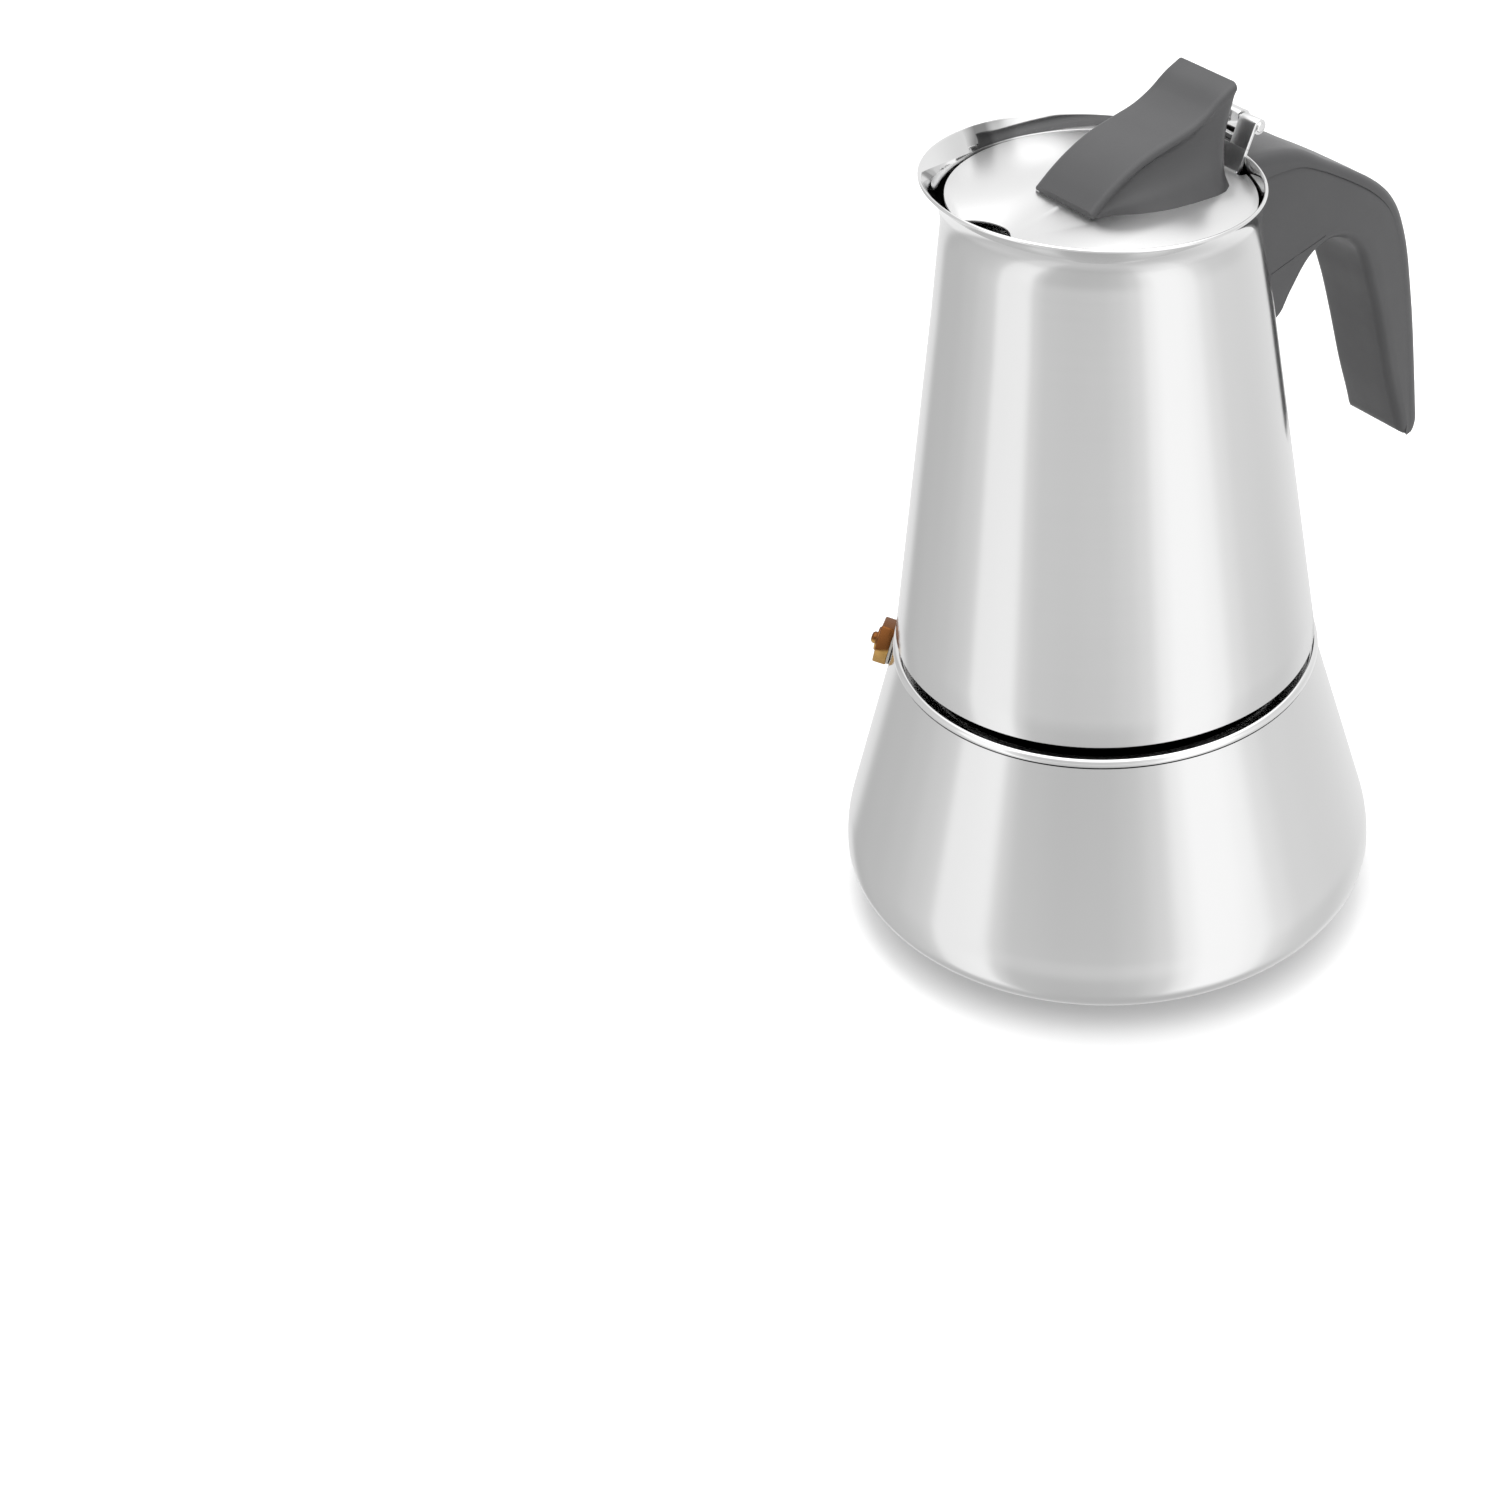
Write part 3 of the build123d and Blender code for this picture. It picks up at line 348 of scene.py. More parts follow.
def flowing(points, perSpan):   # a smooth line through a few points
    knots = [Vector((p[0], 0, p[1])) for p in points]
    padded = [2 * knots[0] - knots[1]] + knots + [2 * knots[-1] - knots[-2]]
    line = []
    for before, here, there, after in zip(padded, padded[1:], padded[2:], padded[3:]):
        reach = (there - here).length
        leaving = (there - before).normalized() * reach / 3
        arriving = (after - here).normalized() * reach / 3
        line += interpolate_bezier(here, here + leaving, there - arriving, there, perSpan + 1)[:-1]
    line.append(knots[-1])
    return [(p.x, p.z) for p in line]


def threadOn(bm, points, closed=False):   # a chain of edges through the points
    verts = [bm.verts.new(p) for p in points]
    edges = [bm.edges.new(pair) for pair in zip(verts, verts[1:])]
    if closed:
        edges.append(bm.edges.new((verts[-1], verts[0])))
    return verts + edges


merging = {"doubles": 0.000001, "slivers": 0.0000005, "flatFrom": 9}   # metres, and a face's corner count


def mended(bm):
    bmesh.ops.remove_doubles(bm, verts=bm.verts, dist=merging["doubles"])
    bmesh.ops.dissolve_degenerate(bm, edges=bm.edges, dist=merging["slivers"])
    bmesh.ops.recalc_face_normals(bm, faces=bm.faces)
    return bm


def turned(profile, steps=256, closed=True):   # (radius, height) points in mm, spun about the pot's axis
    bm = bmesh.new()
    chain = threadOn(bm, [(r * mm, 0, z * mm) for r, z in profile], closed)
    bmesh.ops.spin(bm, geom=chain, cent=(0, 0, 0), axis=(0, 0, 1), angle=math.tau, steps=steps,
                   use_merge=True)
    return mended(bm)


def softened(bm, width, turnOver, segments=2, only=None):   # rounds edges that turn more than an angle
    sharp = [e for e in bm.edges if len(e.link_faces) == 2 and e.calc_face_angle(0) > math.radians(turnOver)]
    if only:
        sharp = [e for e in sharp if only((e.verts[0].co + e.verts[1].co) / 2)]
    bmesh.ops.bevel(bm, geom=sharp, offset=width * mm, offset_type="OFFSET", segments=segments,
                    profile=0.5, affect="EDGES", clamp_overlap=True, material=-1)
    return bm


def onlyVerts(geom):
    return [v for v in geom if isinstance(v, bmesh.types.BMVert)]


def everything(bm):
    return bm.faces[:] + bm.edges[:] + bm.verts[:]


def bridged(bm, loops):   # skins a row of loops and closes both ends
    for first, second in zip(loops, loops[1:]):
        rings = [e for e in bm.edges if all(v in first for v in e.verts) or all(v in second for v in e.verts)]
        bmesh.ops.bridge_loops(bm, edges=rings)
    for ends in (loops[0], loops[-1]):
        bmesh.ops.contextual_create(bm, geom=ends)
    bmesh.ops.recalc_face_normals(bm, faces=bm.faces)
    return bm


def joined(target, extra):
    mesh = bpy.data.meshes.new("extra")
    extra.to_mesh(mesh)
    extra.free()
    target.from_mesh(mesh)
    bpy.data.meshes.remove(mesh)


def piece(bm, name, body, replaced, coat, sharp=38):
    mesh = bpy.data.meshes.new(name)
    bm.to_mesh(mesh)
    bm.free()
    mesh.shade_smooth()
    for polygon in mesh.polygons:
        polygon.use_smooth = polygon.loop_total < merging["flatFrom"]
    mesh.set_sharp_from_angle(angle=math.radians(sharp))
    mesh.materials.append(coat)
    made = bpy.data.objects.new(name, mesh)
    bpy.context.scene.collection.objects.link(made)
    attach(made, body)
    if replaced:
        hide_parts(*replaced)
    return made


def cutWith(made, bm):   # takes a closed shape out of a piece
    mesh = bpy.data.meshes.new("cutter")
    bm.to_mesh(mesh)
    bm.free()
    cutter = bpy.data.objects.new("cutter", mesh)
    bpy.context.scene.collection.objects.link(cutter)
    cut = made.modifiers.new("cut", "BOOLEAN")
    cut.operation = "DIFFERENCE"
    cut.solver = "EXACT"
    cut.object = cutter
    carved = bpy.data.meshes.new_from_object(made.evaluated_get(bpy.context.evaluated_depsgraph_get()))
    made.modifiers.clear()
    made.data = carved
    bpy.data.objects.remove(cutter)


def block(low, high):   # a box between two corners, mm
    bm = bmesh.new()
    bmesh.ops.create_cube(bm, size=1.0)
    size = [h - l for l, h in zip(low, high)]
    middle = [(l + h) / 2 * mm for l, h in zip(low, high)]
    bmesh.ops.scale(bm, vec=[s * mm for s in size], verts=bm.verts)
    bmesh.ops.translate(bm, vec=middle, verts=bm.verts)
    return bm


# the flared boiler and its threaded neck

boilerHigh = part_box("boiler_shell")[1]
boiler = {
    "bellyR": boilerHigh.x / mm, "topZ": boilerHigh.z / mm, "baseR": 31.3, "bellyZ": 11.2,
    "coneFootZ": 18.7, "topR": 42.8, "wall": 1.0,
}


def coneR(z):
    kneeZ = (boiler["bellyZ"] + boiler["coneFootZ"]) / 2
    slope = (boiler["bellyR"] - boiler["topR"]) / (boiler["topZ"] - kneeZ)
    return boiler["topR"] + slope * (boiler["topZ"] - z)


def boilerProfile(inset):
    bellyR, bellyZ, footZ = boiler["bellyR"] - inset, boiler["bellyZ"], boiler["coneFootZ"]
    base = boiler["baseR"]
    line = [(0.0, inset), (base * 0.5, inset)]
    line += arc((base, bellyZ), (bellyR - base, bellyZ - inset), -90, 0, 28)
    kneeZ, footR = (bellyZ + footZ) / 2, coneR(footZ) - inset
    knee = interpolate_bezier(Vector((bellyR, bellyZ, 0)), Vector((bellyR, (bellyZ + 2 * kneeZ) / 3, 0)),
                              Vector(((footR + 2 * bellyR) / 3, (footZ + 2 * kneeZ) / 3, 0)),
                              Vector((footR, footZ, 0)), 9)
    line += [(p.x, p.y) for p in knee[1:]]
    for step in range(1, 13):
        z = footZ + (boiler["topZ"] - footZ) * step / 12
        line.append((coneR(z) - inset, z))
    return line


bm = turned(boilerProfile(0) + boilerProfile(boiler["wall"])[::-1], closed=False)
piece(bm, "boilerSkin", "boiler", ["boiler_shell"], steel)

neckLow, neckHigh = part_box("neck_ring")
neck = {
    "beadR": neckHigh.x / mm, "topZ": neckHigh.z / mm, "footZ": neckLow.z / mm, "beadH": 2.2,
    "outR": 37.0, "inR": 34.5, "threadZ": 65.0, "threadRise": 6.0, "pitch": 4.0, "depth": 0.95,
    "root": 0.85, "crest": 0.45, "bury": 0.4, "threadSteps": 160,
}


def threadRidge(bm, radius, depth, startZ):
    root, crest, bury = neck["root"], neck["crest"], neck["bury"]
    tooth = [(-bury, -root), (0, -root), (depth, -crest), (depth, crest), (0, root), (-bury, root)]
    chain = threadOn(bm, [((radius + r) * mm, 0, (startZ + z) * mm) for r, z in tooth], closed=True)
    face = bmesh.ops.contextual_create(bm, geom=chain)["faces"]
    steps = neck["threadSteps"]
    turns = neck["threadRise"] / neck["pitch"]
    bmesh.ops.spin(bm, geom=chain + face, cent=(0, 0, 0), axis=(0, 0, 1), angle=math.tau * turns, steps=steps,
                   dvec=(0, 0, neck["threadRise"] * mm / steps))


def neckProfile():
    shelf, half = boiler["topZ"], neck["beadH"] / 2
    line = [(neck["outR"] - 0.4, neck["topZ"]), (neck["outR"], neck["topZ"] - 0.4)]
    line += [(neck["outR"], shelf + 2 * half + 0.3), (neck["outR"] + 0.3, shelf + 2 * half)]
    line += arc((neck["beadR"] - half, shelf + half), (half, half), 90, -90, 14)
    line += [(neck["outR"], shelf), (neck["outR"], neck["footZ"])]
    line += [(neck["inR"], neck["footZ"]), (neck["inR"], neck["topZ"])]
    return line


bm = turned(neckProfile())
threadRidge(bm, neck["outR"], neck["depth"], neck["threadZ"])
bmesh.ops.recalc_face_normals(bm, faces=bm.faces)
piece(bm, "neckAndBead", "boiler", ["neck_ring"], neckMetal)
print("boiler done")

# the brass safety valve, seen from its side

valveAxis = Vector(next(j for j in frame["joints"] if j["name"] == "valve_lift")["axis"]).normalized()
valveLow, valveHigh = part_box("valve_washer")
valve = {
    "flats": 8.6, "height": 2.9, "washer": 0.5, "bossR": 2.6, "bossH": 0.5, "bossBury": 0.4,
    "edge": 0.3, "turn": 40.0,
}


def valveFrame():   # z along the valve's axis, origin where the washer sits on the boiler
    side = Vector((0, 0, 1)).cross(valveAxis).normalized()
    up = valveAxis.cross(side)
    seat = (valveLow + valveHigh) / 2 - valveAxis * valve["washer"] / 2 * mm
    return Matrix.Translation(seat) @ Matrix((side, up, valveAxis)).transposed().to_4x4()


def upright(bm, radius, height, foot, segments):   # a capped prism on the valve's axis, mm
    ring = bmesh.ops.create_circle(bm, cap_ends=True, radius=radius * mm, segments=segments)["verts"]
    face = list({f for v in ring for f in v.link_faces})
    bmesh.ops.translate(bm, vec=(0, 0, foot * mm), verts=ring)
    top = bmesh.ops.extrude_face_region(bm, geom=face)["geom"]
    bmesh.ops.translate(bm, vec=(0, 0, height * mm), verts=onlyVerts(top))


bm = bmesh.new()
upright(bm, valve["flats"] / math.sqrt(3), valve["height"], valve["washer"], 6)
turn = Matrix.Rotation(math.radians(valve["turn"]), 3, "Z")
bmesh.ops.rotate(bm, cent=(0, 0, 0), matrix=turn, verts=bm.verts)
bmesh.ops.recalc_face_normals(bm, faces=bm.faces)
softened(bm, valve["edge"], 30, 3)
boss = bmesh.new()
bossFoot = valve["washer"] + valve["height"] - valve["bossBury"]
upright(boss, valve["bossR"], valve["bossH"] + valve["bossBury"], bossFoot, 40)
bmesh.ops.recalc_face_normals(boss, faces=boss.faces)
joined(bm, softened(boss, valve["edge"], 60, 3))
bmesh.ops.transform(bm, matrix=valveFrame(), verts=bm.verts)
piece(bm, "valveHexagon", "boiler", ["valve_body"], brass)
print("valve done")

# the upper vessel and the riser in it

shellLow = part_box("collector_shell")[0]
collector = {
    "seamR": 42.4, "seamZ": shellLow.z / mm, "taper": 0.1369, "wall": 0.7, "rimZ": 163.8, "slope": 0.10,
    "leanFrom": 138.0, "flareFrom": 152.5, "flare": 1.65, "spout": 3.7, "spoutHalf": 105.0,
    "leanCurve": 1.35, "flareCurve": 2.3, "spoutCurve": 2.7, "spoutFall": 3, "steps": 288, "rimEdge": 0.25,
    "rows": (12, 10, 26),
}


def wallR(z):
    return collector["seamR"] - collector["taper"] * (z - collector["seamZ"])


def shareUp(z, start):   # 0 at the named height, 1 at the rim
    return min(max((z - collector[start]) / (collector["rimZ"] - collector[start]), 0), 1)


def leanAt(z):
    return collector["slope"] * (1 - (1 - shareUp(z, "leanFrom")) ** collector["leanCurve"])


def reachAt(z, angle):   # how far the wall stands from the axis, angle in degrees from the handle
    part = shareUp(z, "flareFrom")
    flare = collector["flare"] * part ** collector["flareCurve"]
    away = abs(angle % 360 - 180)
    fall = math.exp(-(away / collector["spoutHalf"]) ** collector["spoutFall"])
    return wallR(z) + flare + collector["spout"] * part ** collector["spoutCurve"] * fall


def mouthShape(verts):   # leans and flares a spun wall towards the spout
    for vert in verts:
        z = vert.co.z / mm
        angle = math.degrees(math.atan2(vert.co.y, vert.co.x))
        offset = math.hypot(vert.co.x, vert.co.y) / mm - wallR(z)
        reach = (reachAt(z, angle) + offset) * mm
        vert.co.x = reach * math.cos(math.radians(angle))
        vert.co.y = reach * math.sin(math.radians(angle))
        vert.co.z = z * mm - leanAt(z) * vert.co.x


def collectorHeights():
    stops = [collector[name] for name in ("seamZ", "leanFrom", "flareFrom", "rimZ")]
    heights = []
    for low, high, count in zip(stops, stops[1:], collector["rows"]):
        heights += [low + (high - low) * i / count for i in range(count)]
    return heights + stops[-1:]


bm = turned([(wallR(z), z) for z in collectorHeights()], collector["steps"], closed=False)
mouthShape(bm.verts)
for face in bm.faces:
    face.normal_update()
if sum(f.normal.dot(f.calc_center_median() * Vector((1, 1, 0))) for f in bm.faces) < 0:
    bmesh.ops.reverse_faces(bm, faces=bm.faces)
bmesh.ops.solidify(bm, geom=everything(bm), thickness=collector["wall"] * mm)
bmesh.ops.recalc_face_normals(bm, faces=bm.faces)
softened(bm, collector["rimEdge"], 60, 3)
piece(bm, "collectorSkin", "collector", ["collector_shell"], shellSteel)

columnLow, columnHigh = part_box("riser_column")
capLow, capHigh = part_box("column_cap")
column = {
    "r": 4.5, "bore": 3.6, "edge": 0.2, "steps": 96,
    "capR": capHigh.x / mm, "crown": 2.2, "capEdge": 0.25, "capDepth": 1.0, "capStep": 1.6, "capGap": 0.05,
}


def tubeProfile():
    foot, top = columnLow.z / mm, columnHigh.z / mm
    return [(column["r"], foot), (column["r"], top), (column["bore"], top), (column["bore"], foot)]


bm = softened(turned(tubeProfile(), column["steps"]), column["edge"], 60)
piece(bm, "riserTube", "collector", ["riser_column"], steel)


def capProfile():
    top, foot, crown = capHigh.z / mm, capLow.z / mm, column["crown"]
    edge, inner = column["capEdge"], column["r"] + column["capGap"]
    line = [(column["capR"] - edge, foot), (column["capR"], foot + edge)]
    line += arc((column["capR"] - crown, top - crown), (crown, crown), 0, 78, 10)
    line += [(0.0, top), (0.0, top - column["capDepth"]), (inner, top - column["capStep"]), (inner, foot)]
    return line


bm = turned(capProfile(), column["steps"])
piece(bm, "columnCap", "collector", ["column_cap"], steel)
print("collector done")

# the open handle and the cover at its root

handle = {
    "half": 8.0, "innerHalf": 9.4, "tipHalf": 8.3, "edge": 2.6, "innerEdge": 2.2, "gap": 0.12,
    "crease": 0.30, "creaseDrop": 0.08, "creaseBack": 0.4, "creaseEnd": 1.3, "rows": (0.25, 0.5, 0.75),
    "perSpan": 5, "tipAngles": (20, 38, 54, 68, 79), "partingGap": 0.12,
    "outer": [(30.0, 159.4), (37.0, 158.7), (44.0, 156.6), (50.5, 152.5), (56.7, 148.5), (62.9, 144.2),
              (67.6, 140.0), (70.6, 135.8), (72.7, 130.8), (74.3, 124.8), (75.5, 118.0), (77.0, 108.0),
              (78.4, 96.0), (79.6, 84.5)],
    "inner": [(30.0, 122.2), (37.0, 123.1), (39.9, 127.2), (44.8, 133.3), (50.4, 135.4), (55.2, 134.2),
              (57.8, 132.0), (59.7, 129.6), (61.3, 126.0), (62.5, 122.3), (64.5, 116.3), (67.2, 106.4),
              (70.2, 94.7), (73.5, 84.0)],
    # how deep under the top the moulded crease runs at each station, and how much of it there is
    "creaseDepth": [4.9, 4.2, 3.0, 2.2, 2.1, 2.2, 2.4, 2.6, 2.8, 2.8, 2.8, 2.8, 2.8, 2.8],
    "creaseShare": [1.0, 1.0, 1.0, 1.0, 1.0, 0.9, 0.5, 0.15, 0, 0, 0, 0, 0, 0],
    "partingFoot": (25.0, 131.7), "partingSlope": 0.243, "partingEnd": 48.5,
    "slotLow": (31.3, -3.3, 151.5), "slotHigh": (33.3, 3.3, 165.0),
}


def along(values, station):   # a listed value part of the way along the handle
    spot = min(station / handle["perSpan"], len(values) - 1.001)
    here = int(spot)
    return values[here] + (values[here + 1] - values[here]) * (spot - here)


def handleSection(height, ledge, crease, innerHalf):   # half a section, (side, depth) from the top's middle
    half, end = handle["half"], handle["creaseEnd"]
    edge = min(handle["edge"], ledge * 0.9, height * 0.4)
    inner = min(handle["innerEdge"], height * 0.32)
    ledge = min(ledge, height * 0.55)
    low = height - inner

    def width(depth):
        return half + (innerHalf - half) * (depth - edge) / (low - edge)

    line = [(0.0, 0.0), (half * 0.35, 0.01), ((half - edge) * 0.9, 0.04)]
    line += [(x, edge - z) for x, z in arc((half - edge, 0), (edge, edge), 80, 0, 8)]
    line += [(width(ledge), ledge), (width(ledge) - crease, ledge + handle["creaseDrop"])]
    line += [(width(ledge) - crease * 0.5, ledge + handle["creaseBack"]), (width(ledge + end), ledge + end)]
    for part in handle["rows"]:
        depth = ledge + end + (low - ledge - end) * part
        line.append((width(depth), depth))
    line += [(x, low - z) for x, z in arc((innerHalf - inner, 0), (inner, inner), 0, -90, 7)]
    line += [(half * 0.4, height), (0.0, height)]
    return line


def handleStation(bm, outer, inner, ledge, crease, innerHalf):
    across = Vector((inner[0] - outer[0], 0, inner[1] - outer[1]))
    side = handleSection(across.length, ledge, crease, innerHalf)
    both = side + [(-x, d) for x, d in side[-2:0:-1]]
    loop = bmesh.ops.create_circle(bm, segments=len(both), radius=1.0)["verts"]
    down = across.normalized()
    for vert, (x, depth) in zip(loop, both):
        vert.co = (Vector((outer[0], x, outer[1])) + down * depth) * mm
    return loop


def tipStations(outer, inner):   # the tip's round end: outer and inner points, and the share of the width
    middle = (Vector(outer) + Vector(inner)) / 2
    half = (Vector(outer) - Vector(inner)) / 2
    drop = Vector((half.y, -half.x)).normalized()
    if drop.y > 0:
        drop = -drop
    rows = []
    for angle in handle["tipAngles"]:
        shrink, sink = math.cos(math.radians(angle)), math.sin(math.radians(angle)) * half.length
        rows.append((middle + half * shrink + drop * sink, middle - half * shrink + drop * sink, shrink))
    return rows


def handleBody():
    bm = bmesh.new()
    outer, inner = flowing(handle["outer"], handle["perSpan"]), flowing(handle["inner"], handle["perSpan"])
    loops = []
    for step, (top, low) in enumerate(zip(outer, inner)):
        innerHalf = handle["innerHalf"] + (handle["tipHalf"] - handle["innerHalf"]) * step / (len(outer) - 1)
        crease = handle["crease"] * along(handle["creaseShare"], step)
        loops.append(handleStation(bm, top, low, along(handle["creaseDepth"], step), crease, innerHalf))
    for top, low, share in tipStations(outer[-1], inner[-1]):
        innerHalf = handle["half"] + (handle["tipHalf"] - handle["half"]) * share
        loops.append(handleStation(bm, top, low, handle["creaseDepth"][-1], 0, innerHalf))
    return bridged(bm, loops)


def wallCutter():   # the space of the collector, with a hair's gap
    bm = turned([(wallR(z), z) for z in collectorHeights()], 192, closed=False)
    mouthShape(bm.verts)
    for vert in bm.verts:
        vert.co.xy += vert.co.xy.normalized() * handle["gap"] * mm
    rims = [e for e in bm.edges if e.is_boundary]
    bmesh.ops.holes_fill(bm, edges=rims, sides=0)
    bmesh.ops.recalc_face_normals(bm, faces=bm.faces)
    return bm


def partingHeight(x):
    return (handle["partingFoot"][1] + handle["partingSlope"] * (x / mm - handle["partingFoot"][0])) * mm


def belowParting(face):
    spot = face.calc_center_median()
    return spot.x < handle["partingEnd"] * mm and spot.z < partingHeight(spot.x)


def handlePart(whole, keepLow):   # one side of the parting line
    bm = whole.copy()
    level = Vector((-handle["partingSlope"], 0, 1)).normalized()
    foot = Vector((handle["partingFoot"][0], 0, handle["partingFoot"][1])) * mm
    foot += level * (-handle["partingGap"] if keepLow else 0.0) * mm
    bmesh.ops.bisect_plane(bm, geom=everything(bm), plane_co=foot, plane_no=level)
    drop = [f for f in bm.faces if belowParting(f) != keepLow]
    bmesh.ops.delete(bm, geom=drop, context="FACES")
    bmesh.ops.holes_fill(bm, edges=[e for e in bm.edges if e.is_boundary], sides=0)
    bmesh.ops.recalc_face_normals(bm, faces=bm.faces)
    return bm


whole = handleBody()
top = piece(handlePart(whole, False), "handleBody", "collector", ["handle"], plastic, 30)
low = piece(handlePart(whole, True), "handleCover", "collector", ["handle_cover"], plastic,
            30)
whole.free()
cutWith(top, wallCutter())
cutWith(low, wallCutter())
cutWith(top, block(handle["slotLow"], handle["slotHigh"]))
print("handle done")

# the lid with its rolled hinge, and the knob on it

hinge = next(j for j in frame["joints"] if j["name"] == "lid_hinge")
pinAt = (hinge["pos_m"][0] / mm, hinge["pos_m"][2] / mm)
lid = {
    "r": 29.0, "t": 0.8, "z": 160.4, "slope": 0.07, "notchAt": -30.2, "notchR": 6.9, "notchRound": 0.9,
    "rootX": 26.6, "rootHalf": 9.6, "nick": 0.7, "knuckleR": 1.9, "knuckleHalf": 8.0, "midHalf": 3.2,
    "sideGap": 0.3, "cornerFlat": 0.3, "edge": 0.22, "stripEdge": 0.12, "wrap": 330.0,
    "bend": ((-0.5, 0.03), (-0.1, 0.12)), "lapIn": 1.6, "tongueRows": (0.12, 0.3, 0.5),
}


def lidTop(x):
    return lid["z"] - lid["slope"] * x


def lidOutline():   # half of the outline, from the hinge round to the middle of the notch
    nick, root, half = lid["nick"], lid["rootX"], lid["rootHalf"]
    line = [(root, 0.0), (root, half - 2 * nick - lid["cornerFlat"])]
    line += [(root - nick * math.sin(math.radians(a)), half - nick - nick * math.cos(math.radians(a)))
             for a in range(0, 181, 20)]
    startA = math.degrees(math.asin(half / lid["r"]))
    # the small round between rim and notch touches both circles
    tip, reach = lid["notchRound"], lid["r"] - lid["notchRound"]
    away, span = lid["notchR"] + lid["notchRound"], -lid["notchAt"]
    cosine = (reach ** 2 + span ** 2 - away ** 2) / (2 * reach * span)
    tipA = math.degrees(math.acos(cosine))
    centre = (-reach * math.cos(math.radians(tipA)), reach * math.sin(math.radians(tipA)))
    line += arc((0, 0), (lid["r"], lid["r"]), startA, 180 - tipA, 90)
    toNotch = math.degrees(math.atan2(-centre[1], lid["notchAt"] - centre[0]))
    line += arc(centre, (tip, tip), 180 - tipA, 360 + toNotch, 9)[1:]
    fromNotch = math.degrees(math.atan2(centre[1], centre[0] - lid["notchAt"]))
    line += arc((lid["notchAt"], 0), (lid["notchR"], lid["notchR"]), fromNotch, 0, 16)[1:]
    return line


def lidDisc():
    side = lidOutline()
    both = side + [(x, -y) for x, y in side[-2:0:-1]]
    bm = bmesh.new()
    chain = threadOn(bm, [(x * mm, y * mm, lidTop(x) * mm) for x, y in both], closed=True)
    face = bmesh.ops.contextual_create(bm, geom=chain)["faces"]
    under = bmesh.ops.extrude_face_region(bm, geom=face)["geom"]
    bmesh.ops.translate(bm, vec=(-lid["slope"] * lid["t"] * mm, 0, -lid["t"] * mm), verts=onlyVerts(under))
    bmesh.ops.recalc_face_normals(bm, faces=bm.faces)
    return softened(bm, lid["edge"], 50, 2)


def sheetStrip(centreline, lowY, highY, thickness):   # a bent strip of sheet between two widths
    bm = bmesh.new()
    chain = threadOn(bm, [(x * mm, lowY * mm, z * mm) for x, z in centreline])
    edges = [e for e in chain if isinstance(e, bmesh.types.BMEdge)]
    grown = bmesh.ops.extrude_edge_only(bm, edges=edges)["geom"]
    bmesh.ops.translate(bm, vec=(0, (highY - lowY) * mm, 0), verts=onlyVerts(grown))
    bmesh.ops.recalc_face_normals(bm, faces=bm.faces)
    bmesh.ops.solidify(bm, geom=everything(bm), thickness=thickness * mm)
    bmesh.ops.recalc_face_normals(bm, faces=bm.faces)
    return softened(bm, lid["stripEdge"], 50, 2)


def tongueLine(wrapped):   # middle of the sheet from the bend up to the knuckle, and round the pin
    half = lid["t"] / 2
    radius = lid["knuckleR"] - half
    foot = (lid["rootX"], lidTop(lid["rootX"]) - half)
    reach = math.hypot(pinAt[0] - foot[0], pinAt[1] - foot[1])
    climb = math.atan2(pinAt[1] - foot[1], pinAt[0] - foot[0]) + math.asin(radius / reach)
    length = math.sqrt(reach ** 2 - radius ** 2)
    touch = (foot[0] + length * math.cos(climb), foot[1] + length * math.sin(climb))
    line = [(foot[0] - lid["lapIn"], lidTop(foot[0] - lid["lapIn"]) - half)]
    line += [(foot[0] + x, foot[1] + z) for x, z in lid["bend"]]
    line += [(foot[0] + length * part * math.cos(climb), foot[1] + length * part * math.sin(climb))
             for part in lid["tongueRows"]]
    if not wrapped:
        return line
    start = math.degrees(math.atan2(touch[1] - pinAt[1], touch[0] - pinAt[0]))
    return [line[-1]] + arc(pinAt, (radius, radius), start, start - lid["wrap"], 26)


lidBm = lidDisc()
joined(lidBm, sheetStrip(tongueLine(False), -lid["knuckleHalf"], lid["knuckleHalf"], lid["t"]))
for side in (-1, 1):   # the two rolled knuckles
    ends = sorted((side * (lid["midHalf"] + lid["sideGap"]), side * lid["knuckleHalf"]))
    joined(lidBm, sheetStrip(tongueLine(True), ends[0], ends[1], lid["t"]))
piece(lidBm, "lidPlate", "lid", ["lid_plate"], lidMetal)

knob = {
    "half": 8.3, "edge": 1.3, "noseX": -8.6, "heelX": 23.6, "waist": 0.8, "backHollow": 1.5,
    "sideRows": 14, "waistEnd": 0.75, "spread": 1.7, "backEdge": 0.6, "backFrom": 18.0,
    "top": [(-8.9, 162.4), (-5.2, 165.0), (-1.0, 167.3), (4.0, 169.2), (10.0, 170.4), (15.0, 171.4),
            (19.0, 173.1), (22.5, 175.3), (26.0, 176.8)],
    "foot": [(-8.6, 7.3), (-7.9, 7.9), (-4.6, 8.7), (-0.1, 11.2), (3.0, 12.4), (6.2, 13.2),
             (11.0, 13.7), (16.5, 13.8), (19.0, 13.3), (21.2, 11.8), (22.6, 9.6), (23.6, 7.0)],
}


def footHalf(x):
    points = knob["foot"]
    for (x0, w0), (x1, w1) in zip(points, points[1:]):
        if x <= x1:
            part = (x - x0) / (x1 - x0)
            return w0 + (w1 - w0) * part
    return points[-1][1]


